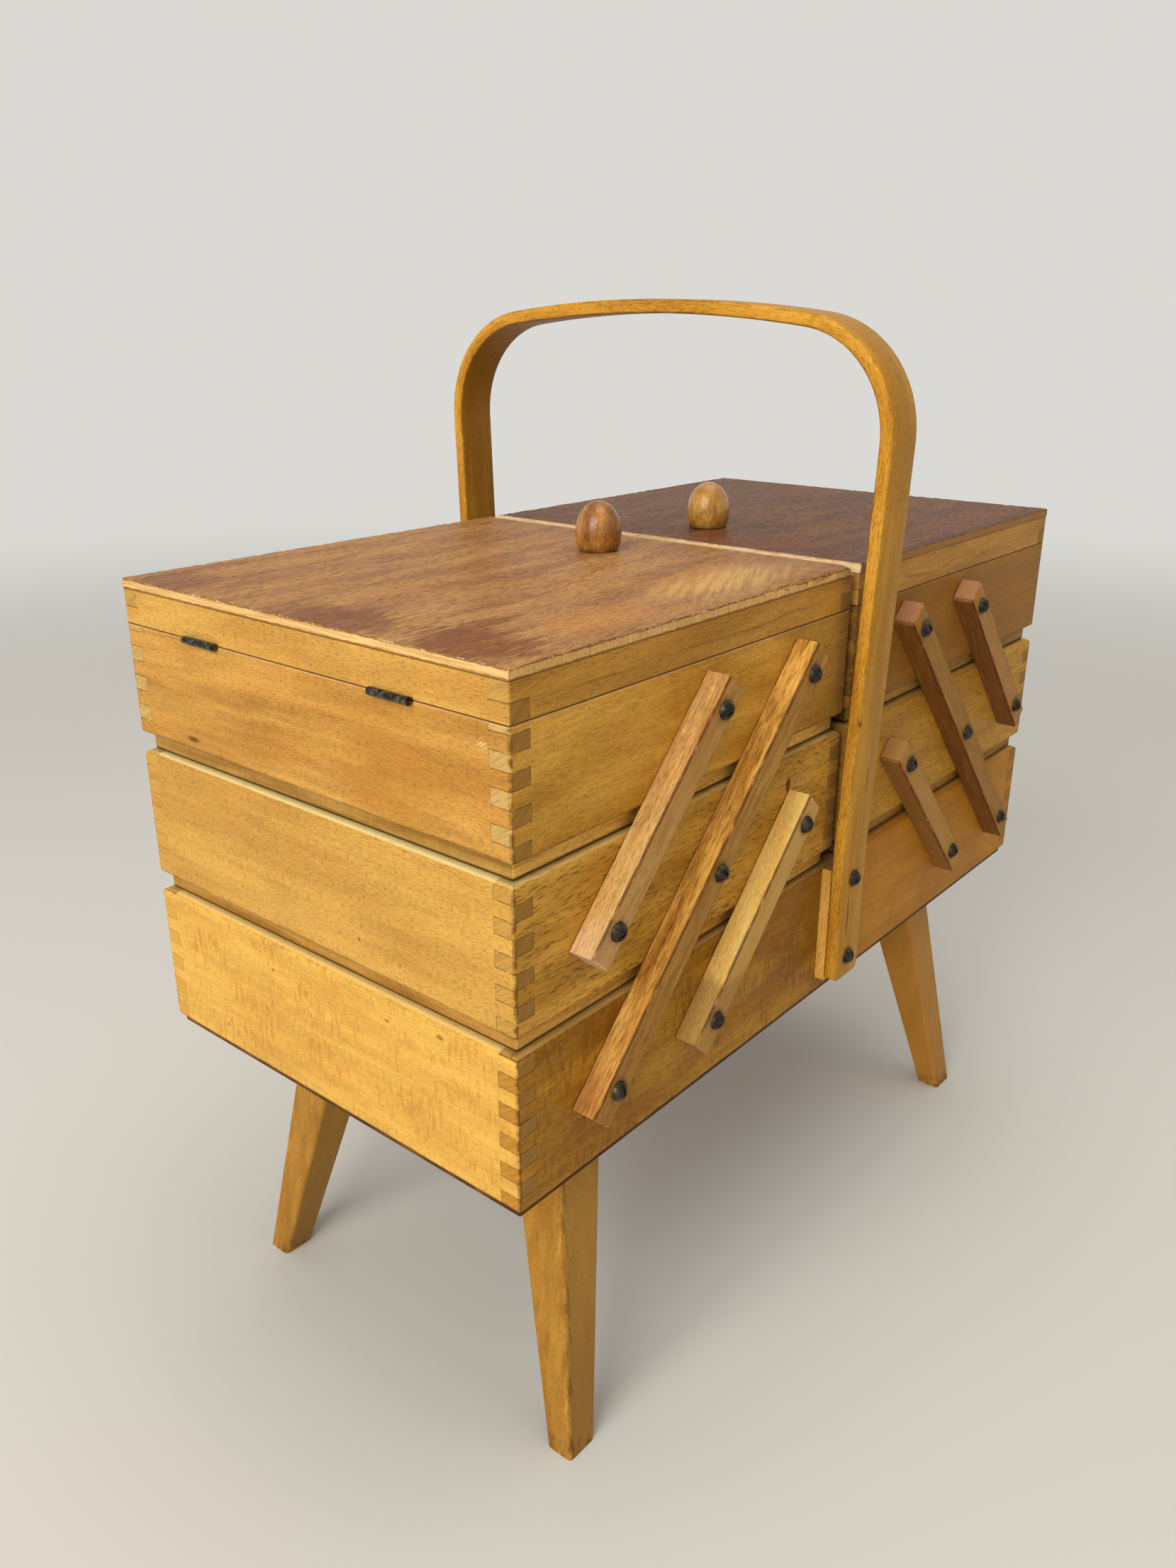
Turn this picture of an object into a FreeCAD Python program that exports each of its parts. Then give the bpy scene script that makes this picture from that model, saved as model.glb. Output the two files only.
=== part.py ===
import FreeCAD, Part
import math
import os
import Sketcher
from FreeCAD import Placement, Rotation, Vector

# Wooden cantilever sewing box on four splayed legs.
# The lower box carries two halves. Each half has a middle tray, an upper tray and a hinged lid,
# and swings outward on wooden arms. A bentwood bow over the middle is the handle.
# Frame: millimetres, +X along the length, front at -Y, +Z up, origin on the floor under the centre.
# The left half (-X) is drawn, and the right half is its mirror image. So are front and back.

doc = FreeCAD.newDocument("sewing_box")

# Driving dimensions
dimensions = [
    ("boxLength", 440, "outside length of the box"),
    ("boxWidth", 218, "outside width of the box"),
    ("wallThick", 9.5, "wall boards of boxes, trays and lid frames"),
    ("halfGap", 6, "gap between the two halves"),
    ("fingerHigh", 6.4, "height of one finger of the corner joints"),
    ("lowerHigh", 65, "wall height of the lower box"),
    ("middleHigh", 57.4, "wall height of a middle tray"),
    ("upperHigh", 47.5, "wall height of an upper tray"),
    ("seatGap", 0.3, "gap between a tray's base board and the rim below it"),
    ("baseThick", 8, "base board under a tray"),
    ("baseInset", 3.5, "base board's edge inside the tray's outer face"),
    ("bottomThick", 4, "bottom board of the lower box"),
    ("bottomInset", 2, "bottom board's edge inside the box's outer face"),
    ("rimRound", 3, "rounding of an outer rim that a tray rests on"),
    ("edgeRound", 1, "rounding of the other outer edges"),
    ("lidGap", 0.3, "gap between a lid and its tray"),
    ("lidRail", 14.5, "height of the lid frame"),
    ("panelThick", 4, "plywood panel on the lid frame"),
    ("knobWide", 21.4, "greatest diameter of a knob"),
    ("knobHigh", 22.5, "height of a knob above the lid"),
    ("knobFoot", 17.8, "diameter of a knob where it meets the lid"),
    ("knobAway", 41, "knob axis to the lid's inner edge"),
    ("tenonWide", 8, "diameter of the knob's tenon in the panel"),
    ("legHigh", 150, "floor to the bottom board"),
    ("legTopLong", 28, "leg section at the top, along the box"),
    ("legTopDeep", 28.5, "leg section at the top, across the box"),
    ("legFootLong", 16.4, "leg section at the floor, along the box"),
    ("legFootDeep", 13.4, "leg section at the floor, across the box"),
    ("legTopFromEnd", 53, "leg top's outer corner to the box's end face"),
    ("legTopFromSide", 28, "leg top's outer corner to the box's long face"),
    ("legFootFromEnd", 32.4, "leg foot's outer corner to the box's end face"),
    ("legFootFromSide", 4.5, "leg foot's outer corner to the box's long face"),
    ("legRound", 2, "rounding of a leg's long edges"),
    ("armThick", 10.6, "arm, across the box"),
    ("armWide", 12.5, "arm, across its own length"),
    ("armGap", 0.4, "gap between an arm and the walls"),
    ("armTail", 13.8, "lower pivot to the arm's lower end"),
    ("armHead", 11.3, "upper pivot to the arm's upper end"),
    ("armClip", 1.2, "clipped corner of the arm's upper end"),
    ("armSoft", 0.6, "chamfer of the arm's outer edges"),
    ("armFootIn", 43, "long arm's lowest pivot to the box's end face"),
    ("armRun", 63, "level distance between two pivots of an arm"),
    ("armSpacing", 64.5, "level distance between neighbouring parallel arms"),
    ("lowerPivotUp", 35.5, "pivots above the floor of the lower box"),
    ("upperPivotUp", 30.5, "pivots above the floor of an upper tray"),
    ("screwShank", 4, "diameter of a round-head screw"),
    ("screwBite", 8, "depth of a round-head screw in its wall"),
    ("screwHead", 7.9, "diameter of the round head"),
    ("screwDome", 3.2, "height of the round head"),
    ("slotWide", 1.1, "screw slot"),
    ("slotDeep", 1.2, "depth of the screw slot"),
    ("runGap", 0.08, "radial gap of an arm on its screw"),
    ("boreGap", 0.03, "radial gap of a screw or tenon in a fixed piece"),
    ("headGap", 0.1, "gap between an arm and the screw head"),
    ("bowWide", 22, "bow strip along the box"),
    ("bowThick", 6, "thickness of the bow strip"),
    ("bowSoft", 1, "chamfer of the bow strip's edges"),
    ("spacerThick", 4.7, "spacer block between wall and bow"),
    ("spacerUp", 7.5, "foot of bow and spacer above the box's floor"),
    ("bowUpright", 68, "top of the upright stretch of the bow above the box's floor"),
    ("bowLean", 6.3, "how far the bow leans out above its foot"),
    ("bowBend", 400, "radius of the slight bend where the lean begins"),
    ("bowShoulder", 47, "radius of the bow's shoulders at mid-thickness"),
    ("bowCrown", 640, "radius of the bow's crown at mid-thickness"),
    ("bowHigh", 313.3, "top of the bow above the box's floor"),
    ("bowFootRound", 4, "rounded corners of the bow's foot"),
    ("bowScrewLow", 18.4, "lower bow screw above the box's floor"),
    ("bowScrewHigh", 59.5, "upper bow screw above the box's floor"),
    ("legScrewShank", 3.8, "diameter of a leg's countersunk screw"),
    ("legScrewHead", 7.6, "diameter of its countersunk head"),
    ("legScrewSink", 2.2, "height of its countersunk head"),
    ("legScrewLong", 26, "length of a leg screw below the floor of the box"),
    ("legScrewSpread", 12, "distance between a leg's two screws"),
    ("hingeLong", 20, "length of a lid hinge"),
    ("hingeOff", 55, "hinge's middle to the lid's centre line"),
    ("hingeBarrel", 3.2, "diameter of the hinge barrel"),
    ("hingePin", 1.6, "diameter of the hinge pin"),
    ("hingeOut", 1.8, "hinge axis outside the end face"),
    ("leafThick", 0.8, "hinge leaf"),
    ("leafDeep", 8, "hinge leaf's reach into the wall"),
    ("leafGap", 0.1, "gap between the two leaves"),
    ("knuckleGap", 0.2, "gap between neighbouring knuckles"),
    ("pinGap", 0.05, "radial gap of the hinge pin"),
]

sheet = doc.addObject("Spreadsheet::Sheet", "dims")
for row, (alias, number, meaning) in enumerate(dimensions, 1):
    sheet.set(f"A{row}", meaning)
    sheet.set(f"B{row}", str(number))
    sheet.setAlias(f"B{row}", alias)
doc.recompute()

# Places that follow from the dimensions, as expressions
end_face = "(-dims.boxLength / 2)"
front_face = "(-dims.boxWidth / 2)"
half_long = "(dims.boxLength / 2 - dims.halfGap / 2)"
half_middle = "(-dims.boxLength / 4 - dims.halfGap / 4)"
lower_floor = "(dims.legHigh + dims.bottomThick)"
middle_floor = f"({lower_floor} + dims.lowerHigh + dims.seatGap + dims.baseThick)"
upper_floor = f"({middle_floor} + dims.middleHigh + dims.seatGap + dims.baseThick)"
seam = f"({upper_floor} + dims.upperHigh)"
lid_floor = f"({seam} + dims.lidGap)"
panel_floor = f"({lid_floor} + dims.lidRail)"
panel_top = f"({panel_floor} + dims.panelThick)"
arm_back = f"({front_face} - dims.armGap)"
arm_front = f"({arm_back} - dims.armThick)"
arm_rise = f"(({upper_floor} + dims.upperPivotUp - {lower_floor} - dims.lowerPivotUp) / 2)"
arm_step = f"(sqrt(dims.armRun ^ 2 + {arm_rise} ^ 2))"
arm_angle = f"(atan({arm_rise} / dims.armRun))"
bow_back = f"({front_face} - dims.spacerThick)"
bow_front = f"({bow_back} - dims.bowThick)"
hinge_x = f"({end_face} - dims.hingeOut)"
hinge_z = f"({seam} + dims.lidGap / 2)"

# Pivots of the left half as (x, z): the long arm has three, the two short arms have two each
base_x = f"({end_face} + dims.armFootIn)"
base_z = f"({lower_floor} + dims.lowerPivotUp)"


def pivot(step, side):
    """Pivot after a number of arm steps; side 1 lies inward of the long arm, -1 outward."""
    return (f"({base_x} + {step} * dims.armRun + {side} * dims.armSpacing)",
            f"({base_z} + {step} * {arm_rise})")


long_pivots = [pivot(0, 0), pivot(1, 0), pivot(2, 0)]
lower_pivots = [pivot(0, 1), pivot(1, 1)]
upper_pivots = [pivot(1, -1), pivot(2, -1)]


hair = 1e-4


def worth(expression):
    return float(sheet.evalExpression(expression))


def bind(item, expressions):
    for path, expression in expressions.items():
        item.setExpression(path, expression)


def place(item, corner):
    bind(item, {f"Placement.Base.{axis}": expression for axis, expression in zip("xyz", corner)})


# Bodies and sketches

def new_body(name):
    return doc.addObject("PartDesign::Body", name)


def role(body, name):
    return next(item for item in body.Origin.OriginFeatures if item.Role == name)


def new_sketch(body, plane, offset="0"):
    sketch = body.newObject("Sketcher::SketchObject", f"{body.Name}_sketch")
    sketch.AttachmentSupport = [(role(body, plane), "")]
    sketch.MapMode = "FlatFace"
    sketch.setExpression("AttachmentOffset.Base.z", offset)
    return sketch


def fix_size(sketch, kind, item, expression):
    number = sketch.addConstraint(Sketcher.Constraint(kind, item, worth(expression)))
    sketch.setExpression(f"Constraints[{number}]", expression)


def fix_point(sketch, item, vertex, x=None, y=None):
    for kind, expression in (("DistanceX", x), ("DistanceY", y)):
        if expression is not None:
            link = Sketcher.Constraint(kind, -1, 1, item, vertex, worth(expression))
            sketch.setExpression(f"Constraints[{sketch.addConstraint(link)}]", expression)


def polygon(sketch, corners):
    points = [Vector(worth(x), worth(y), 0) for x, y in corners]
    first = sketch.GeometryCount
    for start, end in zip(points, points[1:] + points[:1]):
        sketch.addGeometry(Part.LineSegment(start, end), False)
    for number, (x, y) in enumerate(corners):
        following = first + (number + 1) % len(corners)
        sketch.addConstraint(Sketcher.Constraint("Coincident", first + number, 2, following, 1))
        fix_point(sketch, first + number, 1, x, y)


def rectangle(sketch, x, y, long, high):
    right = f"({x} + {long})"
    top = f"({y} + {high})"
    polygon(sketch, [(x, y), (right, y), (right, top), (x, top)])


def circle(sketch, x, y, radius):
    centre = Vector(worth(x), worth(y), 0)
    item = sketch.addGeometry(Part.Circle(centre, Vector(0, 0, 1), worth(radius)), False)
    fix_point(sketch, item, 3, x, y)
    fix_size(sketch, "Radius", item, radius)


def arc(sketch, centre, radius, start, end):
    """Anticlockwise arc of a fixed radius between two angles in degrees."""
    ring = Part.Circle(Vector(worth(centre[0]), worth(centre[1]), 0), Vector(0, 0, 1), worth(radius))
    item = sketch.addGeometry(Part.ArcOfCircle(ring, math.radians(start), math.radians(end)), False)
    fix_size(sketch, "Radius", item, radius)
    return item


def smooth_joint(sketch, first, first_vertex, second, second_vertex):
    sketch.addConstraint(Sketcher.Constraint("Tangent", first, first_vertex, second, second_vertex))


def rounded_rectangle(sketch, x, y, long, deep, radius):
    left = f"({x} + {radius})"
    right = f"({x} + {long} - {radius})"
    low = f"({y} + {radius})"
    high = f"({y} + {deep} - {radius})"
    centres = [(right, high), (left, high), (left, low), (right, low)]
    corners = [arc(sketch, centre, radius, 90 * turn, 90 * turn + 90) for turn, centre in enumerate(centres)]
    for corner, following, centre in zip(corners, corners[1:] + corners[:1], centres):
        fix_point(sketch, corner, 3, *centre)
        ends = (sketch.getPoint(corner, 2), sketch.getPoint(following, 1))
        side = sketch.addGeometry(Part.LineSegment(*ends), False)
        smooth_joint(sketch, corner, 2, side, 1)
        smooth_joint(sketch, side, 2, following, 1)


def feature(body, kind, profile, length):
    item = body.newObject(f"PartDesign::{kind}", f"{body.Name}_{kind.lower()}")
    item.Profile = profile
    item.setExpression("Length", length)
    body.Tip = item
    doc.recompute()
    return item


def round_edges(body, kind, size, wanted):
    """Fillet or chamfer the edges of the body's last feature that wanted picks."""
    base = body.Tip
    names = [f"Edge{number}" for number, edge in enumerate(base.Shape.Edges, 1) if wanted(edge)]
    item = body.newObject(f"PartDesign::{kind}", f"{body.Name}_{kind.lower()}")
    item.Base = (base, names)
    item.setExpression("Radius" if kind == "Fillet" else "Size", size)
    body.Tip = item
    doc.recompute()


def at_height(height):
    return lambda edge: abs(edge.BoundBox.ZMin - height) < hair and edge.BoundBox.ZLength < hair


def upright(edge):
    return edge.BoundBox.XLength + edge.BoundBox.YLength < hair


# Primitives, booleans and copies

def box(name, corner, size):
    item = doc.addObject("Part::Box", name)
    bind(item, dict(zip(("Length", "Width", "Height"), size)))
    place(item, corner)
    return item


def cylinder(name, radius, high, up="0"):
    item = doc.addObject("Part::Cylinder", name)
    bind(item, {"Radius": radius, "Height": high, "Placement.Base.z": up})
    return item


def boolean(kind, name, base, tool):
    item = doc.addObject(f"Part::{kind}", name)
    item.Base = base
    item.Tool = tool
    return item


def compound(name, items):
    item = doc.addObject("Part::Compound", name)
    item.Links = items
    return item


def linked(name, source, centre, turn=Rotation()):
    item = doc.addObject("App::Link", name)
    item.LinkedObject = source
    item.LinkTransform = True
    item.Placement = Placement(Vector(), turn)
    place(item, centre)
    return item


def mirrored(name, source, normal, base="0"):
    item = doc.addObject("Part::Mirroring", name)
    item.Source = source
    item.Normal = normal
    item.setExpression("Base.x", base)
    return item


along = Vector(1, 0, 0)
across = Vector(0, 1, 0)
facing_front = Rotation(Vector(1, 0, 0), 90)

parts = {}


def keep(item, name=None):
    """Name a finished sub-part."""
    item.Label = name or item.Name
    parts[item.Label] = item
    return item


def keep_both_sides(item, name):
    """Keep a piece of the left half and its mirror image in the right half."""
    keep(item, f"left_{name}")
    keep(mirrored(f"right_{name}", item, along))


# Boxes and trays

def softened_box(name, corner, size, kind, rounding, wanted):
    """Box whose edges at the wanted places are rounded."""
    body = new_body(name)
    block = body.newObject("PartDesign::AdditiveBox", f"{name}_block")
    bind(block, dict(zip(("Length", "Width", "Height"), size)))
    place(block, corner)
    body.Tip = block
    doc.recompute()
    round_edges(body, kind, rounding, wanted(block.Shape.BoundBox))
    return body


def lower_edges(bounds):
    floor_level = at_height(bounds.ZMin)
    return lambda edge: upright(edge) or floor_level(edge)


def upper_edges(bounds):
    return at_height(bounds.ZMax)


def rounded_block(name, corner, size, soft, rim=None):
    """The outer form of a box, with soft corners and a rounded rim; its walls are trimmed to it."""
    if not rim:
        return softened_box(name, corner, size, "Fillet", soft, lower_edges)
    body = softened_box(f"{name}_sides", corner, size, "Fillet", soft, lower_edges)
    crown = softened_box(f"{name}_crown", corner, size, "Fillet", rim, upper_edges)
    return boolean("Common", name, body, crown)


def finger_wall(name, corner_x, floor, long, high, first_notch, screws):
    """Front wall with notches at both ends for the end walls' fingers, and blind screw bores."""
    body = new_body(f"{name}_board")
    inner_plane = "(dims.boxWidth / 2 - dims.wallThick)"
    outer_plane = "(dims.boxWidth / 2)"
    board = new_sketch(body, "XZ_Plane", inner_plane)
    rectangle(board, corner_x, floor, long, high)
    feature(body, "Pad", board, "dims.wallThick")

    notches = new_sketch(body, "XZ_Plane", outer_plane)
    first = f"({floor} + {first_notch} * dims.fingerHigh)"
    last_x = f"({corner_x} + {long} - dims.wallThick)"
    for x in (corner_x, last_x):
        rectangle(notches, x, first, "dims.wallThick", "dims.fingerHigh")
    pocket = feature(body, "Pocket", notches, "dims.wallThick")
    count = f"ceil(({high} / dims.fingerHigh - {first_notch}) / 2)"
    comb = body.newObject("PartDesign::LinearPattern", f"{name}_comb")
    comb.Originals = [pocket]
    comb.Direction = (role(body, "Z_Axis"), [""])
    bind(comb, {"Occurrences": count, "Length": f"2 * dims.fingerHigh * max(1; {count} - 1)"})
    body.Tip = comb
    doc.recompute()

    if screws:
        bores = new_sketch(body, "XZ_Plane", outer_plane)
        for x, z in screws:
            circle(bores, x, z, "dims.screwShank / 2 + dims.boreGap")
        feature(body, "Pocket", bores, "dims.screwBite + dims.boreGap")
    return body


def end_wall(name, floor, high, front, back, form, cuts=()):
    """End wall at -X, cut out around the fingers of the long walls and trimmed to the form."""
    plate = box(f"{name}_plate", (end_face, front_face, floor), ("dims.wallThick", "dims.boxWidth", high))
    for number, tool in enumerate((front, back, *cuts)):
        plate = boolean("Cut", f"{name}_cut_{number}", plate, tool)
    return boolean("Common", name, plate, form)


def walls_of(name, floor, high, first_notch, screws, form, cuts=()):
    """The four walls of one tray or lid frame of the left half."""
    front_board = finger_wall(f"{name}_front_wall", end_face, floor, half_long, high, first_notch, screws)
    back_board = mirrored(f"{name}_back_wall_board", front_board, across)
    front = boolean("Common", f"{name}_front_wall", front_board, form)
    back = mirrored(f"{name}_back_wall", front, across)
    outer = end_wall(f"{name}_outer_wall", floor, high, front_board, back_board, form, cuts)
    plain = outer
    if cuts:
        plain = end_wall(f"{name}_plain_wall", floor, high, front_board, back_board, form)
    inner = mirrored(f"{name}_inner_wall", plain, along, half_middle)
    return {"front_wall": front, "back_wall": back, "outer_wall": outer, "inner_wall": inner}


def base_board(name, floor):
    """Board glued under a tray, which rests on the rim below."""
    corner = (f"({end_face} + dims.baseInset)", f"({front_face} + dims.baseInset)", f"({floor} - dims.baseThick)")
    size = (f"({half_long} - 2 * dims.baseInset)", "(dims.boxWidth - 2 * dims.baseInset)", "dims.baseThick")
    return rounded_block(name, corner, size, "dims.edgeRound")


# Lower box
box_size = ("dims.boxLength", "dims.boxWidth")
corner_low = (end_face, front_face, lower_floor)
lower_form = rounded_block("lower_form", corner_low, (*box_size, "dims.lowerHigh"), "dims.edgeRound", "dims.rimRound")

base_pivots = [long_pivots[0], lower_pivots[0]]
right_pivots = [(f"(-{x})", z) for x, z in base_pivots]
bow_screws = [("0", f"({lower_floor} + dims.{name})") for name in ("bowScrewLow", "bowScrewHigh")]
lower_board = finger_wall("lower_front_wall", end_face, lower_floor, "dims.boxLength", "dims.lowerHigh", 1,
                          base_pivots + right_pivots + bow_screws)
lower_back_board = mirrored("lower_back_wall_board", lower_board, across)
lower_front = keep(boolean("Common", "lower_front_wall", lower_board, lower_form))
keep(mirrored("lower_back_wall", lower_front, across))
lower_end = keep(end_wall("lower_left_wall", lower_floor, "dims.lowerHigh", lower_board, lower_back_board, lower_form))
keep(mirrored("lower_right_wall", lower_end, along))

bottom_corner = (f"({end_face} + dims.bottomInset)", f"({front_face} + dims.bottomInset)", "dims.legHigh")
bottom_size = ("(dims.boxLength - 2 * dims.bottomInset)", "(dims.boxWidth - 2 * dims.bottomInset)", "dims.bottomThick")
bottom_blank = rounded_block("bottom_blank", bottom_corner, bottom_size, "dims.edgeRound")


# Legs, each held by two countersunk screws from inside the box

def countersunk(name, gap):
    """Countersunk screw, or its hole with a gap, with the head's flat top at the origin."""
    head = doc.addObject("Part::Cone", f"{name}_head")
    shank = f"(dims.legScrewShank / 2 + {gap})"
    bind(head, {"Radius1": shank, "Radius2": f"dims.legScrewHead / 2 + {gap}",
                "Height": "dims.legScrewSink", "Placement.Base.z": "-dims.legScrewSink"})
    long = f"(dims.legScrewLong + {gap})"
    body = cylinder(f"{name}_shank", shank, f"{long} - dims.legScrewSink / 2", f"-{long}")
    return boolean("Fuse", name, head, body)


leg_screw = countersunk("leg_screw", "0")
leg_screw_hole = countersunk("leg_screw_hole", "dims.boreGap")
leg_top_x = f"({end_face} + dims.legTopFromEnd)"
leg_top_y = f"({front_face} + dims.legTopFromSide)"
leg_places = [(f"({leg_top_x} + dims.legTopLong / 2 + {side} * dims.legScrewSpread / 2)",
               f"({leg_top_y} + dims.legTopDeep / 2)", lower_floor) for side in (-1, 1)]


def in_four_corners(name, source):
    """Copies of a corner's two screws at all four legs."""
    front_left = compound(f"{name}_front_left", [linked(f"{name}_{number}", source, centre)
                                                 for number, centre in enumerate(leg_places)])
    left = compound(f"{name}_left", [front_left, mirrored(f"{name}_back_left", front_left, across)])
    return compound(name, [left, mirrored(f"{name}_right", left, along)])


keep(in_four_corners("leg_screws", leg_screw))
all_holes = in_four_corners("leg_holes", leg_screw_hole)
keep(boolean("Cut", "lower_bottom_board", bottom_blank, all_holes))

leg_body = new_body("leg_form")
foot_sketch = new_sketch(leg_body, "XY_Plane")
rounded_rectangle(foot_sketch, f"({end_face} + dims.legFootFromEnd)", f"({front_face} + dims.legFootFromSide)",
                  "dims.legFootLong", "dims.legFootDeep", "dims.legRound")
top_sketch = new_sketch(leg_body, "XY_Plane", "dims.legHigh")
rounded_rectangle(top_sketch, leg_top_x, leg_top_y, "dims.legTopLong", "dims.legTopDeep", "dims.legRound")
leg_loft = leg_body.newObject("PartDesign::AdditiveLoft", "leg_loft")
leg_loft.Profile = foot_sketch
leg_loft.Sections = [top_sketch]
leg_loft.Ruled = True
leg_body.Tip = leg_loft
doc.recompute()
leg = keep(boolean("Cut", "leg_front_left", leg_body, all_holes))
keep(mirrored("leg_back_left", leg, across))
keep(mirrored("leg_front_right", leg, along))
keep(mirrored("leg_back_right", parts["leg_back_left"], along))


# Round-head slotted screws, axis along +Z with the head's underside at the origin

def round_screw(name, reach):
    shank = cylinder(f"{name}_shank", "dims.screwShank / 2", reach, f"-({reach})")
    dome_radius = "((dims.screwHead ^ 2 / 4 + dims.screwDome ^ 2) / (2 * dims.screwDome))"
    ball = doc.addObject("Part::Sphere", f"{name}_ball")
    bind(ball, {"Radius": dome_radius, "Placement.Base.z": f"dims.screwDome - {dome_radius}"})
    blank = cylinder(f"{name}_blank", "dims.screwHead / 2", "dims.screwDome")
    head = boolean("Common", f"{name}_head", ball, blank)
    whole = boolean("Fuse", f"{name}_whole", head, shank)
    slot_corner = ("-dims.screwHead / 2", "-dims.slotWide / 2", "dims.screwDome - dims.slotDeep")
    slot = box(f"{name}_slot", slot_corner, ("dims.screwHead", "dims.slotWide", "dims.slotDeep"))
    return boolean("Cut", name, whole, slot)


pivot_reach = "dims.headGap + dims.armThick + dims.armGap + dims.screwBite"
bow_reach = "dims.bowThick + dims.spacerThick + dims.screwBite"
pivot_screw = round_screw("pivot_screw", pivot_reach)
bow_screw = round_screw("bow_screw", bow_reach)
pivot_seat = f"({arm_front} - dims.headGap)"


def front_screws(name, source, seat, centres):
    return compound(name, [linked(f"{name}_{number}", source, (x, seat, z), facing_front)
                           for number, (x, z) in enumerate(centres)])


def front_and_back(name, source):
    return compound(name, [source, mirrored(f"{name}_back", source, across)])


base_front = front_screws("base_front", pivot_screw, pivot_seat, base_pivots + right_pivots)
bow_front_screws = front_screws("bow_front_screws", bow_screw, bow_front, bow_screws)
keep(front_and_back("lower_round_head_screws", compound("lower_front_screws", [base_front, bow_front_screws])))

middle_centres = [long_pivots[1], lower_pivots[1], upper_pivots[0]]
upper_centres = [long_pivots[2], upper_pivots[1]]
for level, centres in (("middle", middle_centres), ("upper", upper_centres)):
    fronts = front_screws(f"{level}_front_screws", pivot_screw, pivot_seat, centres)
    keep_both_sides(front_and_back(f"left_{level}_pivot_screws", fronts), f"{level}_pivot_screws")


# Middle and upper trays
tray_size = (half_long, "dims.boxWidth")
middle_form = rounded_block("middle_form", (end_face, front_face, middle_floor), (*tray_size, "dims.middleHigh"),
                            "dims.edgeRound", "dims.rimRound")
upper_form = rounded_block("upper_form", (end_face, front_face, upper_floor), (*tray_size, "dims.upperHigh"),
                           "dims.edgeRound")

hinge_front = "(-dims.hingeOff - dims.hingeLong / 2)"
leaf_low = f"({hinge_z} - dims.leafGap / 2 - dims.leafThick)"
leaf_high = f"({hinge_z} + dims.leafGap / 2)"


def leaf_recess(name, bottom):
    """Two shallow mortises in an end wall for the hinge leaves."""
    corner = (end_face, hinge_front, bottom)
    front = box(f"{name}_front", corner, ("dims.leafDeep", "dims.hingeLong", "dims.leafThick"))
    return front_and_back(name, front)


tray_recess = leaf_recess("tray_recess", leaf_low)
lid_recess = leaf_recess("lid_recess", leaf_high)

for level, floor, high, first, centres, form, cuts in (
        ("middle", middle_floor, "dims.middleHigh", 1, middle_centres, middle_form, ()),
        ("upper", upper_floor, "dims.upperHigh", 0, upper_centres, upper_form, (tray_recess,))):
    walls = walls_of(f"left_{level}", floor, high, first, centres, form, cuts)
    for side, wall in walls.items():
        keep_both_sides(wall, f"{level}_{side}")
    keep_both_sides(base_board(f"left_{level}_base_board", floor), f"{level}_base_board")


# Lids: a frame of four rails, a plywood panel and an egg-shaped knob
lid_form = rounded_block("lid_form", (end_face, front_face, f"({lid_floor} - dims.edgeRound)"),
                         (*tray_size, "(dims.lidRail + dims.edgeRound)"), "dims.edgeRound")


def lid_rail():
    """Front rail of a lid frame; its lower half is notched for the end rails' fingers."""
    body = new_body("lid_front_rail_board")
    board = new_sketch(body, "XZ_Plane", "(dims.boxWidth / 2 - dims.wallThick)")
    rectangle(board, end_face, lid_floor, half_long, "dims.lidRail")
    feature(body, "Pad", board, "dims.wallThick")
    notches = new_sketch(body, "XZ_Plane", "(dims.boxWidth / 2)")
    for x in (end_face, f"({end_face} + {half_long} - dims.wallThick)"):
        rectangle(notches, x, lid_floor, "dims.wallThick", "(dims.lidRail / 2)")
    feature(body, "Pocket", notches, "dims.wallThick")
    return body


rail_board = lid_rail()
rail_back_board = mirrored("lid_back_rail_board", rail_board, across)
front_rail = boolean("Common", "lid_front_rail", rail_board, lid_form)
back_rail = mirrored("lid_back_rail", front_rail, across)
outer_rail = end_wall("lid_outer_rail", lid_floor, "dims.lidRail", rail_board, rail_back_board, lid_form, (lid_recess,))
plain_rail = end_wall("lid_plain_rail", lid_floor, "dims.lidRail", rail_board, rail_back_board, lid_form)
inner_rail = mirrored("lid_inner_rail", plain_rail, along, half_middle)
keep_both_sides(compound("left_lid_frame", [front_rail, back_rail, outer_rail, inner_rail]), "lid_frame")

knob_x = "(-dims.halfGap / 2 - dims.knobAway)"
panel_blank = rounded_block("panel_blank", (end_face, front_face, panel_floor), (*tray_size, "dims.panelThick"),
                            "(dims.edgeRound / 2)", "(dims.edgeRound / 2)")
knob_bore = cylinder("knob_bore", "dims.tenonWide / 2 + dims.boreGap", "dims.panelThick", panel_floor)
knob_bore.setExpression("Placement.Base.x", knob_x)
keep_both_sides(boolean("Cut", "left_lid_panel", panel_blank, knob_bore), "lid_panel")

# The knob is an ellipsoid cut flat at its foot, with a tenon
egg_share = "sqrt(1 - (dims.knobFoot / dims.knobWide) ^ 2)"
egg_half = f"(dims.knobHigh / (1 + {egg_share}))"
egg = doc.addObject("Part::Ellipsoid", "egg")
bind(egg, {"Radius1": egg_half, "Radius2": "dims.knobWide / 2", "Radius3": "dims.knobWide / 2"})
place(egg, (knob_x, "0", f"({panel_top} + {egg_half} * {egg_share})"))
egg_room = cylinder("egg_room", "dims.knobWide", "dims.knobHigh", panel_top)
egg_room.setExpression("Placement.Base.x", knob_x)
knob_top = boolean("Common", "knob_top", egg, egg_room)
tenon = cylinder("tenon", "dims.tenonWide / 2", "dims.panelThick", panel_floor)
tenon.setExpression("Placement.Base.x", knob_x)
keep_both_sides(boolean("Fuse", "left_knob", knob_top, tenon), "knob")


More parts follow.
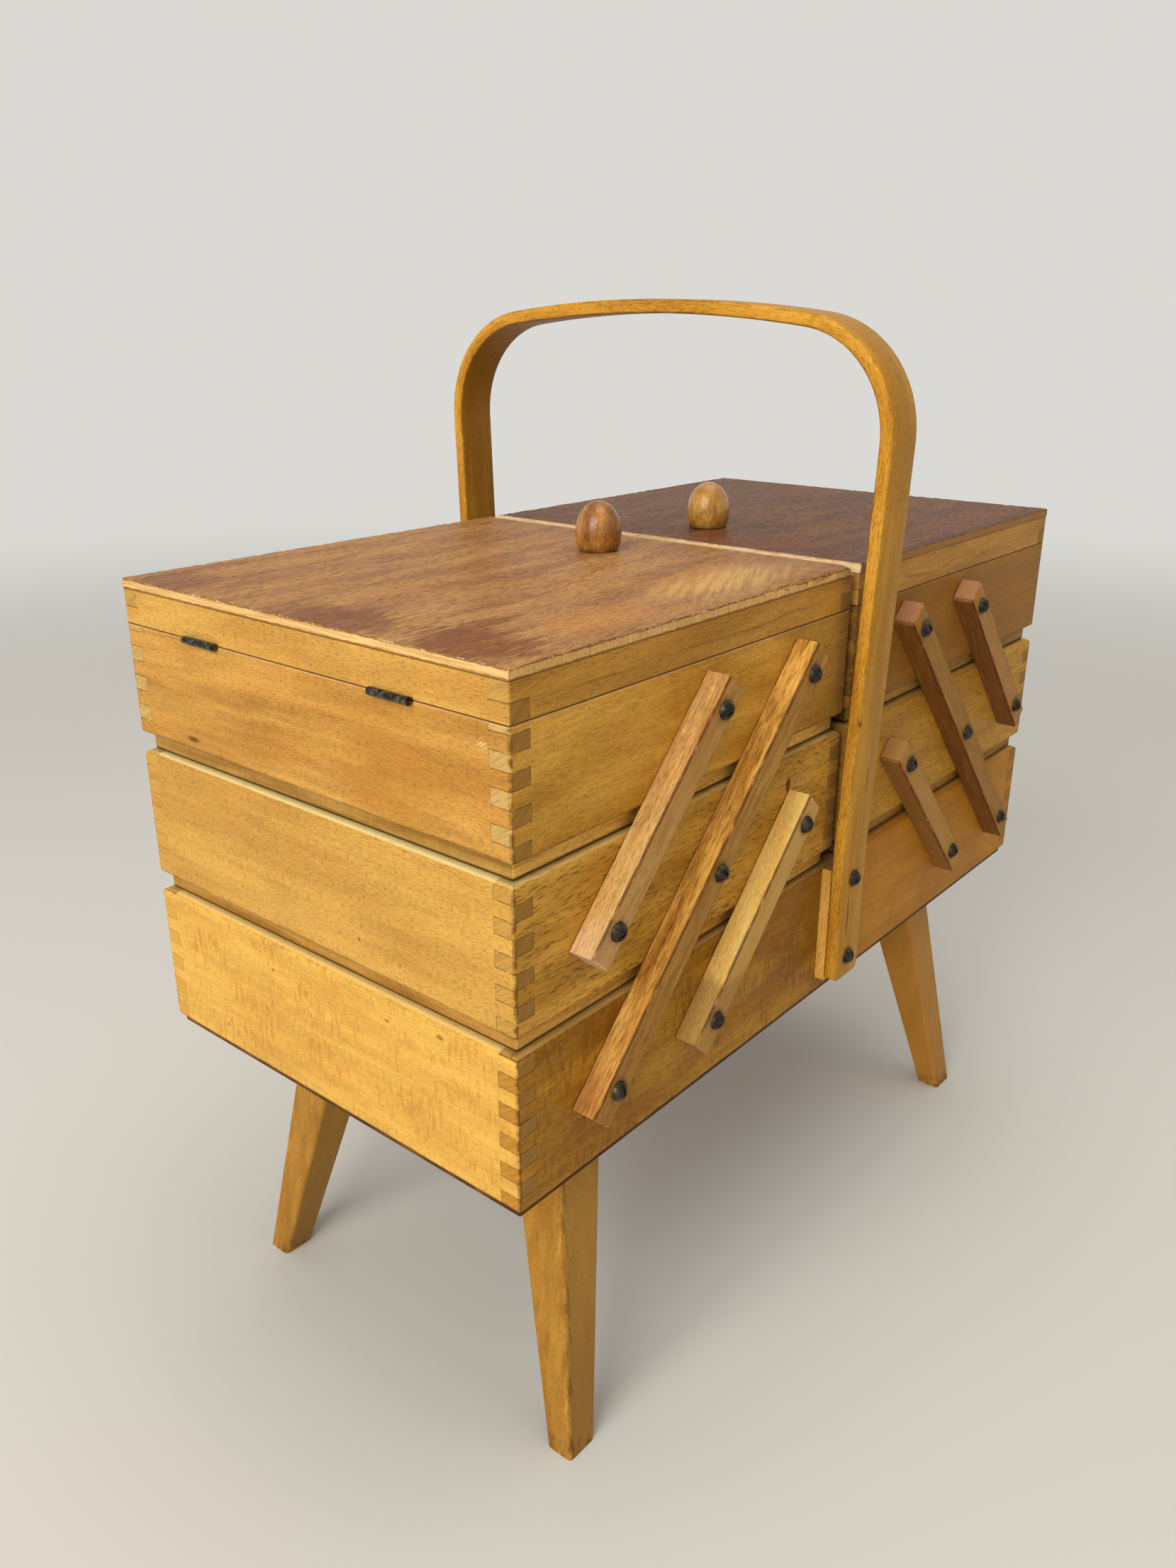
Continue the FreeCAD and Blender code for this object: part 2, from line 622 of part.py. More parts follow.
# Lid hinges: leaves in the seam, barrel outside the end face

def hinge_leaf(name, bottom, knuckles):
    """Leaf plate with its knuckles; each knuckle is a (start, length) along the barrel."""
    body = new_body(name)
    plate = body.newObject("PartDesign::AdditiveBox", f"{name}_plate")
    bind(plate, {"Length": "dims.leafDeep", "Width": "dims.hingeLong", "Height": "dims.leafThick"})
    place(plate, (end_face, hinge_front, bottom))
    for number, (start, long) in enumerate(knuckles):
        y = f"({hinge_front} + {start})"
        tab = body.newObject("PartDesign::AdditiveBox", f"{name}_tab_{number}")
        bind(tab, {"Length": "dims.hingeOut + dims.leafThick", "Width": long, "Height": "dims.leafThick"})
        place(tab, (hinge_x, y, bottom))
        tube = body.newObject("PartDesign::AdditiveCylinder", f"{name}_tube_{number}")
        tube.Placement = Placement(Vector(), Rotation(Vector(1, 0, 0), -90))
        bind(tube, {"Radius": "dims.hingeBarrel / 2", "Height": long})
        place(tube, (hinge_x, y, hinge_z))
    bore = body.newObject("PartDesign::SubtractiveCylinder", f"{name}_bore")
    bore.Placement = Placement(Vector(), Rotation(Vector(1, 0, 0), -90))
    bind(bore, {"Radius": "dims.hingePin / 2 + dims.pinGap", "Height": "dims.hingeLong"})
    place(bore, (hinge_x, hinge_front, hinge_z))
    body.Tip = bore
    return body


knuckle = "((dims.hingeLong - 2 * dims.knuckleGap) / 3)"
tray_knuckles = [("0", knuckle), (f"(2 * {knuckle} + 2 * dims.knuckleGap)", knuckle)]
tray_leaf = hinge_leaf("tray_leaf", leaf_low, tray_knuckles)
lid_leaf = hinge_leaf("lid_leaf", leaf_high, [(f"({knuckle} + dims.knuckleGap)", knuckle)])
pin = cylinder("hinge_pin", "dims.hingePin / 2", "dims.hingeLong")
pin.Placement = Placement(Vector(), Rotation(Vector(1, 0, 0), -90))
place(pin, (hinge_x, hinge_front, hinge_z))
fixed_side = compound("hinge_fixed_side", [tray_leaf, pin])
keep_both_sides(front_and_back("left_hinge_tray_leaves", fixed_side), "hinge_tray_leaves")
keep_both_sides(front_and_back("left_hinge_lid_leaves", lid_leaf), "hinge_lid_leaves")


# Arms, drawn along +X from the lower pivot and then turned to their slope

def arm(name, pivots):
    steps = len(pivots) - 1
    body = new_body(f"left_{name}_front")
    sketch = new_sketch(body, "XZ_Plane")
    low = "(-dims.armWide / 2)"
    high = "(dims.armWide / 2)"
    head = f"({steps} * {arm_step} + dims.armHead)"
    polygon(sketch, [("-dims.armTail", low), (f"({head} - dims.armClip)", low),
                     (head, f"({low} + dims.armClip)"), (head, high), ("-dims.armTail", high)])
    for step in range(steps + 1):
        circle(sketch, f"{step} * {arm_step}", "0", "dims.screwShank / 2 + dims.runGap")
    feature(body, "Pad", sketch, "dims.armThick")
    outer = -worth("dims.armThick")
    round_edges(body, "Chamfer", "dims.armSoft",
                lambda edge: abs(edge.BoundBox.YMax - outer) < 1e-6 and edge.Curve.TypeId == "Part::GeomLine")
    x, z = pivots[0]
    body.Placement = Placement(Vector(), Rotation(Vector(0, -1, 0), 1))
    body.setExpression("Placement.Rotation.Angle", arm_angle)
    place(body, (x, arm_back, z))
    keep_both_sides(body, f"{name}_front")
    keep_both_sides(mirrored(f"left_{name}_back", body, across), f"{name}_back")


arm("long_arm", long_pivots)
arm("lower_arm", lower_pivots)
arm("upper_arm", upper_pivots)


# Handle: spacers on the lower box's long walls and a bow bent from one strip
spacer_floor = f"({lower_floor} + dims.spacerUp)"
spacer_high = "(dims.lowerHigh - dims.spacerUp)"


bore_reach = "(dims.bowThick + dims.spacerThick)"
bow_drill = cylinder("bow_drill", "dims.screwShank / 2 + dims.boreGap", f"2 * {bore_reach}", f"-{bore_reach}")
bow_bores = front_screws("bow_bores", bow_drill, bow_back, bow_screws)
spacer_blank = box("spacer_blank", ("-dims.bowWide / 2", bow_back, spacer_floor),
                   ("dims.bowWide", "dims.spacerThick", spacer_high))
spacer_front = boolean("Cut", "spacer_front", spacer_blank, bow_bores)
keep(front_and_back("handle_spacers", spacer_front))

strip_y = "(dims.boxWidth / 2 + dims.spacerThick + dims.bowThick / 2)"
bend_z = f"({lower_floor} + dims.bowUpright)"
bow_top = f"({lower_floor} + dims.bowHigh - dims.bowThick / 2)"
crown_z = f"({bow_top} - dims.bowCrown)"
shoulder_y = f"({strip_y} + dims.bowLean - dims.bowShoulder)"
shoulder_z = f"({crown_z} + sqrt((dims.bowCrown - dims.bowShoulder) ^ 2 - {shoulder_y} ^ 2))"
lean_side = "(dims.bowBend + dims.bowShoulder)"
lean_base = f"({lean_side} - dims.bowLean)"
lean_rise = f"({shoulder_z} - {bend_z})"
lean_angle = f"(atan({lean_rise} / {lean_base}) - acos({lean_side} / sqrt({lean_base} ^ 2 + {lean_rise} ^ 2)))"


def bow_line(body):
    """Half of the strip's middle line: upright, slight bend, lean, shoulder and half the crown."""
    sketch = new_sketch(body, "YZ_Plane")
    lean = worth(lean_angle)
    crown_start = math.degrees(math.atan2(worth(shoulder_z) - worth(crown_z), worth(shoulder_y)))
    foot = Vector(worth(strip_y), worth(spacer_floor), 0)
    knee = Vector(worth(strip_y), worth(bend_z), 0)
    upright_run = sketch.addGeometry(Part.LineSegment(foot, knee), False)
    bend = arc(sketch, (f"({strip_y} + dims.bowBend)", bend_z), "dims.bowBend", 180 - lean, 180)
    shoulder = arc(sketch, (shoulder_y, shoulder_z), "dims.bowShoulder", -lean, crown_start)
    crown = arc(sketch, ("0", crown_z), "dims.bowCrown", crown_start, 90)
    lean_from = sketch.getPoint(bend, 1)
    lean_to = sketch.getPoint(shoulder, 1)
    lean_run = sketch.addGeometry(Part.LineSegment(lean_from, lean_to), False)
    fix_point(sketch, upright_run, 1, strip_y, spacer_floor)
    fix_point(sketch, upright_run, 2, strip_y, bend_z)
    smooth_joint(sketch, upright_run, 2, bend, 2)
    smooth_joint(sketch, bend, 1, lean_run, 1)
    smooth_joint(sketch, lean_run, 2, shoulder, 1)
    smooth_joint(sketch, shoulder, 2, crown, 1)
    fix_point(sketch, shoulder, 3, x=shoulder_y)
    fix_point(sketch, crown, 3, x="0")
    fix_point(sketch, crown, 2, "0", bow_top)
    return sketch


def bow_section(body):
    """Section of the strip at its foot, with chamfered edges."""
    sketch = new_sketch(body, "XY_Plane", spacer_floor)
    outer = "(dims.bowWide / 2)"
    inner = f"({outer} - dims.bowSoft)"
    near = f"({strip_y} - dims.bowThick / 2)"
    far = f"({strip_y} + dims.bowThick / 2)"
    near_cut = f"({near} + dims.bowSoft)"
    far_cut = f"({far} - dims.bowSoft)"
    polygon(sketch, [(f"-{inner}", near), (inner, near), (outer, near_cut), (outer, far_cut),
                     (inner, far), (f"-{inner}", far), (f"-{outer}", far_cut), (f"-{outer}", near_cut)])
    return sketch


strip = new_body("bow_strip")
spine = bow_line(strip)
sweep = strip.newObject("PartDesign::AdditivePipe", "bow_sweep")
sweep.Profile = bow_section(strip)
sweep.Spine = spine
strip.Tip = sweep
doc.recompute()
both_halves = strip.newObject("PartDesign::Mirrored", "bow_both_halves")
both_halves.Originals = [sweep]
both_halves.MirrorPlane = (role(strip, "XZ_Plane"), [""])
strip.Tip = both_halves
doc.recompute()


def foot_edges(bounds):
    floor_level = at_height(bounds.ZMin)
    return lambda edge: floor_level(edge) and edge.BoundBox.XLength < hair


bow_reach_y = f"({strip_y} + 2 * dims.bowLean)"
bow_room = softened_box("bow_room", ("-dims.bowWide / 2", f"-{bow_reach_y}", spacer_floor),
                        ("dims.bowWide", f"2 * {bow_reach_y}", "dims.bowHigh"),
                        "Fillet", "dims.bowFootRound", foot_edges)
trimmed = boolean("Common", "bow_trimmed", strip, bow_room)
keep(boolean("Cut", "handle_bow", trimmed, front_and_back("all_bow_bores", bow_bores)))


# Check every object and write the pieces
doc.recompute()
for item in doc.Objects:
    if "Invalid" in item.State or "Error" in item.State:
        raise RuntimeError(f"{item.Name} failed: {item.State}")
for name, item in parts.items():
    if item.Shape.isNull() or not item.Shape.isValid() or not item.Shape.Solids:
        raise RuntimeError(f"{name} has no valid solid")
os.makedirs("parts", exist_ok=True)
for name, item in parts.items():
    item.Shape.exportStep(f"parts/{name}.step")
print(f"{len(parts)} pieces written")
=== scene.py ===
import bmesh
import bpy
import math
from mathutils import Euler, Matrix, Vector


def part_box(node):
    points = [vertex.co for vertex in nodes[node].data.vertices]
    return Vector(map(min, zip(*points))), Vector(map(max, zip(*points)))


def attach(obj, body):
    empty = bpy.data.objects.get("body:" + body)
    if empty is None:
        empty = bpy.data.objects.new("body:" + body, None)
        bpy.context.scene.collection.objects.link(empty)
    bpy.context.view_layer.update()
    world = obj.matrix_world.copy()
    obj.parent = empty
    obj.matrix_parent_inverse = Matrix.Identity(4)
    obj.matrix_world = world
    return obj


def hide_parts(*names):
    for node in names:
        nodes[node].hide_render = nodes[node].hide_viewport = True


# Wooden sewing box on legs. Metres; X runs along the box, -Y is its front, Z is up.
# Numbers in the dictionaries are millimetres and screen colours unless they say otherwise.

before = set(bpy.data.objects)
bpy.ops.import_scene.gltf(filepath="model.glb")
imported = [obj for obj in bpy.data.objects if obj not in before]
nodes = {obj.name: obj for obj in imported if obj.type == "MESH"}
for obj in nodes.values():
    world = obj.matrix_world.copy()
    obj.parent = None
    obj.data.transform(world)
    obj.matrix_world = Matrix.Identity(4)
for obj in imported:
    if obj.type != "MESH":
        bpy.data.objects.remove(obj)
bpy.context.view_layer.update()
mm = 0.001
print("frame loaded")


# Shader sums

class Wire:  # one shader socket that can be used in sums
    def __init__(self, finish, socket):
        self.finish = finish
        self.socket = socket

    def __add__(self, other):
        return self.finish.math("ADD", self, other)

    def __sub__(self, other):
        return self.finish.math("SUBTRACT", self, other)

    def __rsub__(self, other):
        return self.finish.math("SUBTRACT", other, self)

    def __mul__(self, other):
        return self.finish.math("MULTIPLY", self, other)

    def __truediv__(self, other):
        return self.finish.math("DIVIDE", self, other)

    __radd__ = __add__
    __rmul__ = __mul__


def tint(red, green, blue):  # a screen colour, 0 to 255, as a shader colour
    shares = [value / 255 for value in (red, green, blue)]
    linear = [((share + 0.055) / 1.055) ** 2.4 if share > 0.04 else share / 12.92 for share in shares]
    return (*linear, 1)


class Finish:  # one material and its nodes
    def __init__(self, name, attribute=None):
        self.material = bpy.data.materials.new(name)
        self.material.use_nodes = True
        self.tree = self.material.node_tree
        self.shader = self.tree.nodes["Principled BSDF"]
        self.real = self.scale(self.node("TexCoord", out="Object"), 1 / mm)
        self.place = self.real
        self.bent = bool(attribute)  # the attribute holds the places of the straight piece
        if attribute:
            self.place = self.node("Attribute", {"attribute_name": attribute}, out="Vector")
        self.x, self.y, self.z = self.split(self.place)

    def node(self, kind, settings=None, values=None, out=0):
        item = self.tree.nodes.new("ShaderNode" + kind)
        for key, value in (settings or {}).items():
            setattr(item, key, value)
        for key, value in (values or {}).items():
            if isinstance(value, Wire):
                self.tree.links.new(value.socket, item.inputs[key])
            else:
                item.inputs[key].default_value = value
        return Wire(self, item.outputs[out])

    def math(self, operation, *values):
        return self.node("Math", {"operation": operation}, dict(enumerate(values)))

    def split(self, vector):
        first = self.node("SeparateXYZ", None, {0: vector})
        return [Wire(self, output) for output in first.socket.node.outputs]

    def join(self, x, y, z):
        return self.node("CombineXYZ", None, {0: x, 1: y, 2: z})

    def vector(self, operation, first, second):
        return self.node("VectorMath", {"operation": operation}, {0: first, 1: second})

    def scale(self, vector, factor):
        return self.node("VectorMath", {"operation": "SCALE"}, {0: vector, "Scale": factor})

    def turned(self, vector, turn):
        return self.node("VectorRotate", {"rotation_type": "EULER_XYZ"}, {"Vector": vector, "Rotation": turn})

    def noise(self, vector, sizes, detail=2, rough=0.5, shift=0, out=0):  # sizes: of one feature along each axis
        vector = self.vector("DIVIDE", vector, sizes)
        values = {"Vector": vector, "W": shift, "Scale": 1, "Detail": detail, "Roughness": rough}
        return self.node("TexNoise", {"noise_dimensions": "4D"}, values, out)

    def ease(self, value, low, high):  # 0 at low, 1 at high, smooth between; low may be the higher
        values = {"Value": value, "From Min": low, "From Max": high}
        return self.node("MapRange", {"interpolation_type": "SMOOTHSTEP"}, values)

    def band(self, value, low, high, soft):
        return self.ease(value, low - soft, low) * self.ease(value, high + soft, high)

    def size(self, value):
        return self.math("ABSOLUTE", value)

    def most(self, first, second):
        return self.math("MAXIMUM", first, second)

    def mix(self, factor, first, second, blend="MIX"):
        settings = {"data_type": "RGBA", "blend_type": blend}
        return self.node("Mix", settings, {0: factor, 6: first, 7: second}, out=2)

    def shade(self, colour, amount):  # multiplies a colour by one number
        return self.mix(1, colour, self.join(amount, amount, amount), "MULTIPLY")

    def spot(self, centre, radii, soft=0.5, origin=None):  # 1 inside an ellipsoid, 0 outside
        away = self.vector("DIVIDE", self.vector("SUBTRACT", origin or self.real, centre), radii)
        return self.ease(self.node("VectorMath", {"operation": "LENGTH"}, {0: away}, out="Value"), 1, 1 - soft)

    def facing(self, direction):  # how squarely the surface faces along a direction, either way
        normal = self.node("TexCoord", out="Normal")
        return self.size(self.node("VectorMath", {"operation": "DOT_PRODUCT"}, {0: normal, 1: direction}, out="Value"))

    def bump(self, height, depth):
        normal = self.node("Bump", None, {"Height": height, "Distance": depth * mm, "Strength": 1})
        self.feed("Normal", normal)

    def feed(self, socket, value):
        if isinstance(value, Wire):
            self.tree.links.new(value.socket, self.shader.inputs[socket])
        else:
            self.shader.inputs[socket].default_value = value


def dress(material, *names):
    for name in names:
        materials = nodes[name].data.materials
        materials.clear()
        materials.append(material)


# Lacquered beech

alongX = (0, 0, 0)
alongY = (0, 0, math.radians(-90))
alongZ = (0, math.radians(90), 0)


def look(light, dark, endLight, **others):
    chosen = {
        "light": light, "dark": dark, "endLight": endLight, "endDark": [value * 0.9 for value in endLight],
        "figure": (150, 12, 12), "rings": 5, "ringTone": 0.12,
        "fibre": (14, 0.5, 0.5), "fibreTone": 0.22,
        "fleck": (2.6, 0.34, 0.34), "fleckFrom": 0.55, "fleckSoft": 0.06, "fleckTone": 0.28,
        "cloud": (80, 16, 16), "wash": 0, "washColour": (206, 144, 62),
        "rough": 0.44, "depth": 0.07, "endGrain": 1,
    }
    chosen.update(others)
    return chosen


class Wood(Finish):
    def __init__(self, name, look, turn=alongX, shift=0, attribute=None):
        super().__init__(name, attribute)
        self.look = look
        self.colour, self.rough, self.height = self.board(look, turn, shift)

    def board(self, look, turn, shift):
        self.grain = self.turned(self.place, turn)
        run = Euler(turn).to_matrix().inverted() @ Vector((1, 0, 0))
        self.end = self.ease(self.facing(run), 0.6, 0.85) if look["endGrain"] and not self.bent else 0
        swell = self.noise(self.grain, look["figure"], 2, 0.5, shift)
        ring = self.math("PINGPONG", swell * look["rings"], 0.5) * 2
        fibre = self.noise(self.grain, look["fibre"], 4, 0.66, shift + 3)
        flecks = self.noise(self.grain, look["fleck"], 2, 0.5, shift + 5)
        crowd = self.noise(self.grain, (26, 8, 8), 2, 0.5, shift + 6)
        fleck = self.ease(flecks + (crowd - 0.5) * 0.14, look["fleckFrom"], look["fleckFrom"] + look["fleckSoft"])
        glint = self.ease(flecks, 0.47, 0.36)
        cloud = self.noise(self.grain, look["cloud"], 3, 0.55, shift + 7)

        colour = self.mix(self.ease(cloud, 0.36, 0.64), tint(*look["dark"]), tint(*look["light"]))
        tone = 1 + (ring - 0.5) * look["ringTone"] + (self.ease(fibre, 0.3, 0.7) - 0.5) * look["fibreTone"]
        tone = tone + (glint * 0.3 - fleck) * look["fleckTone"]
        colour = self.shade(colour, tone)
        if look["wash"]:  # old stains that cross the grain
            strokes = self.noise(self.place, (2, 2, 8), 3, 0.6, shift + 13)
            patches = self.noise(self.place, (26, 26, 18), 2, 0.5, shift + 15)
            stained = self.ease(strokes + (patches - 0.5) * 0.6, 0.5, 0.7)
            colour = self.mix(stained * look["wash"], colour, tint(*look["washColour"]))

        pores = self.noise(self.place, (0.5, 0.5, 0.5), 2, 0.6, shift + 9)
        growth = self.noise(self.turned(self.place, (0.6, 0.6, 0)), (9, 9, 0.7), 2, 0.5, shift + 11)
        endTone = self.mix(self.ease(growth, 0.38, 0.62), tint(*look["endDark"]), tint(*look["endLight"]))
        colour = self.mix(self.end, colour, self.shade(endTone, 0.8 + pores * 0.4))
        rough = look["rough"] + fleck * 0.12 + self.end * 0.12 + (cloud - 0.5) * 0.2
        height = fibre * 0.3 - fleck * 0.7 + pores * self.end * 0.5
        return colour, rough, height

    def swap(self, mask, board):  # another board where the mask is 1
        colour, rough, height = board
        self.colour = self.mix(mask, self.colour, colour)
        self.rough = self.rough + mask * (rough - self.rough)
        self.height = self.height + mask * (height - self.height)

    def darken(self, mask, strength):
        self.colour = self.shade(self.colour, 1 - mask * strength)

    def paint(self, mask, colour):
        self.colour = self.mix(mask, self.colour, tint(*colour))

    def close(self, specular=0.16, coat=0):
        self.feed("Base Color", self.colour)
        self.feed("Roughness", self.rough)
        self.feed("Specular IOR Level", specular)
        self.feed("Specular Tint", (1, 0.78, 0.5, 1))  # the lacquer has yellowed
        self.feed("Coat Weight", coat)
        self.feed("Coat Roughness", 0.16)
        self.bump(self.height, self.look["depth"])
        return self.material


# Walls of the box and the trays

walls = {
    "thick": 9.5, "finger": 6.4, "width": 109, "line": 0.34, "lineDark": 0.6, "corner": (92, 54, 22),
    # seam: the near-black painted into the thin gap between lid and tray, a painted shade.
    "seam": (66, 26, 12),
    "lower": {"span": (0, 220), "rim": 0.8, "rimWearAndHighlight": (254, 218, 136), "shift": 2,
              "end": look((236, 184, 84), (224, 168, 74), (168, 122, 52), fleckTone=0.2, wash=0.8,
                          washColour=(204, 144, 58)),
              # The lower box's long walls are painted darker than its ends, partly as painted shade of the front faces.
              "long": look((190, 136, 46), (156, 104, 28), (200, 142, 56), wash=0.55, washColour=(124, 78, 20))},
    "middle": {"span": (111.5, 108.5), "rim": 0.9, "rimWearAndHighlight": (255, 234, 160), "shift": 30,
               "end": look((217, 166, 78), (202, 149, 67), (168, 122, 52)),
               "long": look((212, 158, 66), (180, 128, 46), (204, 154, 74), fleckTone=0.5,
                            fleck=(4.5, 0.56, 0.56), fleckFrom=0.565)},
    "upper": {"span": (111.5, 108.5), "rim": 0, "rimWearAndHighlight": (236, 190, 142), "shift": 60,
              "end": look((211, 156, 73), (184, 128, 54), (168, 122, 52), ringTone=0.2),
              "long": look((222, 166, 70), (194, 138, 48), (214, 172, 100), fleckTone=0.22)},
}


def dressWalls(level, kind, names):
    own = walls[level]
    low, high = (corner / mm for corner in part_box(names[0]))
    wood = Wood(f"{level}_{kind}_wall_wood", own[kind], alongY if kind == "end" else alongX, own["shift"])
    middle, half = own["span"]
    along = wood.size(wood.size(wood.x) - middle) - (half - walls["thick"])
    across = wood.size(wood.y) - (walls["width"] - walls["thick"])
    post = wood.ease(along, -0.2, 0.1) * wood.ease(across, -0.2, 0.1)
    step = wood.math("PINGPONG", (wood.z - low.z) / walls["finger"], 0.5) * walls["finger"]
    worn = wood.noise(wood.place, (4, 4, 4), 3, 0.6, 40)
    flush = wood.size(along if kind == "end" else across)
    line = walls["line"]
    joints = wood.most(wood.ease(step, line, 0.1) * post, wood.ease(flush, line, 0.1) * wood.end)
    wood.darken(joints * wood.ease(worn, 0.3, 0.55), walls["lineDark"])
    if kind == "end":  # the fingers beside the handle hardly show
        wood.paint(wood.end * wood.ease(wood.size(wood.x), 30, 20) * 0.6, own["long"]["dark"])
    nook = wood.ease(along + across, 2 * walls["thick"] - 1.5, 2 * walls["thick"] - 0.8)
    wood.paint(nook * wood.ease(worn, 0.4, 0.56) * 0.6, walls["corner"])
    arris = wood.ease(along, walls["thick"] - 1, walls["thick"] - 0.5) * wood.ease(worn, 0.36, 0.5)
    if kind == "long" and level != "upper":  # nor do the ones at the back
        wood.paint(wood.end * wood.ease(wood.y, -20, 20) * 0.6, own["end"]["light"])
    if kind == "long":
        wood.paint(arris * (1 - wood.end) * 0.6, walls["corner"])

    rub = wood.noise(wood.grain, (16, 2.4, 1.6), 3, 0.6, own["shift"] + 20)
    # The top of the rim is painted pale, partly as wear and partly as a painted highlight, fully on the end walls and
    # weaker on the long walls.
    if own["rim"]:
        rim = wood.ease(wood.z, high.z - 1, high.z - 0.4) * wood.ease(rub, 0.2, 0.44)
        wood.paint(rim * own["rim"] * (1 if kind == "end" else 0.4), own["rimWearAndHighlight"])
    else:
        # The upper walls' top edge is painted pale too, partly wear and partly painted highlight.
        wood.paint(wood.ease(wood.z, high.z - 0.9, high.z - 0.5) * 0.4, own["rimWearAndHighlight"])
        # Painted shade: the upper walls' top edge, just under the lid, is painted near-black where the gap under the
        # lid lies in shade.
        upright = wood.ease(wood.facing((0, 0, 1)), 0.6, 0.3)
        wood.paint(wood.ease(wood.z, high.z - 0.2, high.z - 0.1) * upright, walls["seam"])
    foot = wood.ease(wood.z, low.z + 1.6, low.z + 0.4) * wood.ease(rub, 0.3, 0.6)
    wood.darken(foot, 0.55)
    markWall(wood, level, kind)
    dress(wood.close(0.16 if kind == "end" else 0.1), *names)


def markWall(wood, level, kind):  # stains and specks of the boards that are seen most, and painted shade near the handle
    if level == "middle" and kind == "long":
        wood.paint(wood.spot((-47.5, -109, 271.3), (2.8, 3, 4.4), 0.6) * 0.9, (74, 32, 10))
        wood.paint(wood.ease(wood.x, -1, 1) * 0.4, (194, 138, 44))
    if level == "middle" and kind == "end":
        wood.paint(wood.spot((-220, -28, 239), (2, 0.9, 0.8), 0.6) * 0.8, (70, 44, 20))
    if level == "upper" and kind == "end":
        smooth = wood.noise(wood.grain, (50, 9, 9), 3, 0.6, 71)
        place = wood.vector("ADD", wood.real, wood.join(0, smooth * 40 - 20, 0))
        wood.paint(wood.spot((-220, -48, 312), (9, 34, 40), 0.7, place) * 0.26, (196, 130, 44))
        wood.paint(wood.spot((-220, 69.5, 297.8), (4, 6, 1.7), 0.7) * 0.85, (100, 54, 16))
        scratch = wood.spot((-220, -96, 332), (4, 3.4, 3), 0.5)
        nick = wood.noise(wood.turned(wood.place, (math.radians(35), 0, 0)), (9, 3, 0.5), 2, 0.6, 73)
        wood.paint(scratch * wood.ease(nick, 0.56, 0.6), (250, 222, 150))
    if level == "upper" and kind == "long":
        # Upper front walls: painted shade of the handle and arms: the right half is painted darker, and the left half
        # darker towards the handle.
        wood.paint(wood.ease(wood.x, -1, 1) * 0.7, (136, 86, 32))
        wood.darken(wood.ease(wood.x, -72, -40) * wood.ease(wood.x, 1, -1), 0.3)
    if level == "lower" and kind == "long":
        # Lower front walls: the right part is painted lighter and more orange, and the middle is painted darker as
        # painted shade of the arms and handle.
        wood.paint(wood.ease(wood.x, 6, 20) * 0.5, (206, 134, 36))
        wood.darken(wood.ease(wood.x, -60, -10) * wood.ease(wood.x, 20, -10), 0.2)
    if level == "lower" and kind == "end":
        for y, z, size in ((30, 205, 1.3), (37, 184, 1), (68, 164, 1.2), (-41, 208.5, 1.4), (-70.5, 213, 2)):
            wood.paint(wood.spot((-220, y, z), (3, size * 1.2, size * 0.7), 0.6) * 0.7, (122, 70, 24))


for level in ("lower", "middle", "upper"):
    sides = ("lower",) if level == "lower" else (f"left_{level}", f"right_{level}")
    ends = ("left_wall", "right_wall") if level == "lower" else ("outer_wall", "inner_wall")
    dressWalls(level, "long", [f"{side}_{name}" for side in sides for name in ("front_wall", "back_wall")])
    dressWalls(level, "end", [f"{side}_{name}" for side in sides for name in ends])
print("walls dressed")


# Lid frames: the long rails cover the corners' upper half, the end rails the lower half

lidFrame = {
    "end": look((219, 167, 80), (204, 149, 68), (168, 122, 52)),
    "long": look((200, 144, 58), (176, 122, 44), (206, 158, 78), fleckTone=0.22),
    "lineHigh": 347, "lineSwing": 13,
}


def dressLidFrames():
    low, high = (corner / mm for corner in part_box("left_lid_frame"))
    halfway = (low.z + high.z) / 2
    wood = Wood("lid_frame_wood", lidFrame["long"], alongX, 90)
    drift = wood.noise(wood.grain, (70, 900, 900), 2, 0.5, 3)
    curve = wood.size(wood.z - lidFrame["lineHigh"] - (drift - 0.5) * lidFrame["lineSwing"])
    faint = wood.noise(wood.grain, (30, 90, 90), 2, 0.5, 8)
    wood.darken(wood.ease(curve, 0.9, 0.2) * wood.ease(faint, 0.4, 0.6), 0.3)
    ends = wood.board(lidFrame["end"], alongY, 95)
    along = wood.size(wood.size(wood.x) - 111.5) - 99
    across = wood.size(wood.y) - 99.5
    endRail = wood.ease(across, 0, -0.1)
    cover = wood.ease(along, -0.1, 0) * wood.ease(wood.z, halfway, halfway - 0.1)
    wood.swap(wood.most(endRail, cover), ends)
    post = wood.ease(along, -0.2, 0.1) * wood.ease(across, -0.2, 0.1)
    wood.darken(wood.ease(wood.size(wood.z - halfway), 0.3, 0.1) * post, walls["lineDark"])
    # Painted shade: the lid frame's lowest edge is painted near-black, the other side of the gap over the tray.
    upright = wood.ease(wood.facing((0, 0, 1)), 0.6, 0.3)
    wood.paint(wood.ease(wood.z, low.z + 0.2, low.z + 0.1) * upright, walls["seam"])
    wood.paint(wood.ease(wood.z, high.z - 0.5, high.z - 0.3) * wood.ease(drift, 0.3, 0.5) * 0.8, (84, 48, 20))
    dress(wood.close(), "left_lid_frame", "right_lid_frame")


dressLidFrames()


# Boards under the trays and the lower box

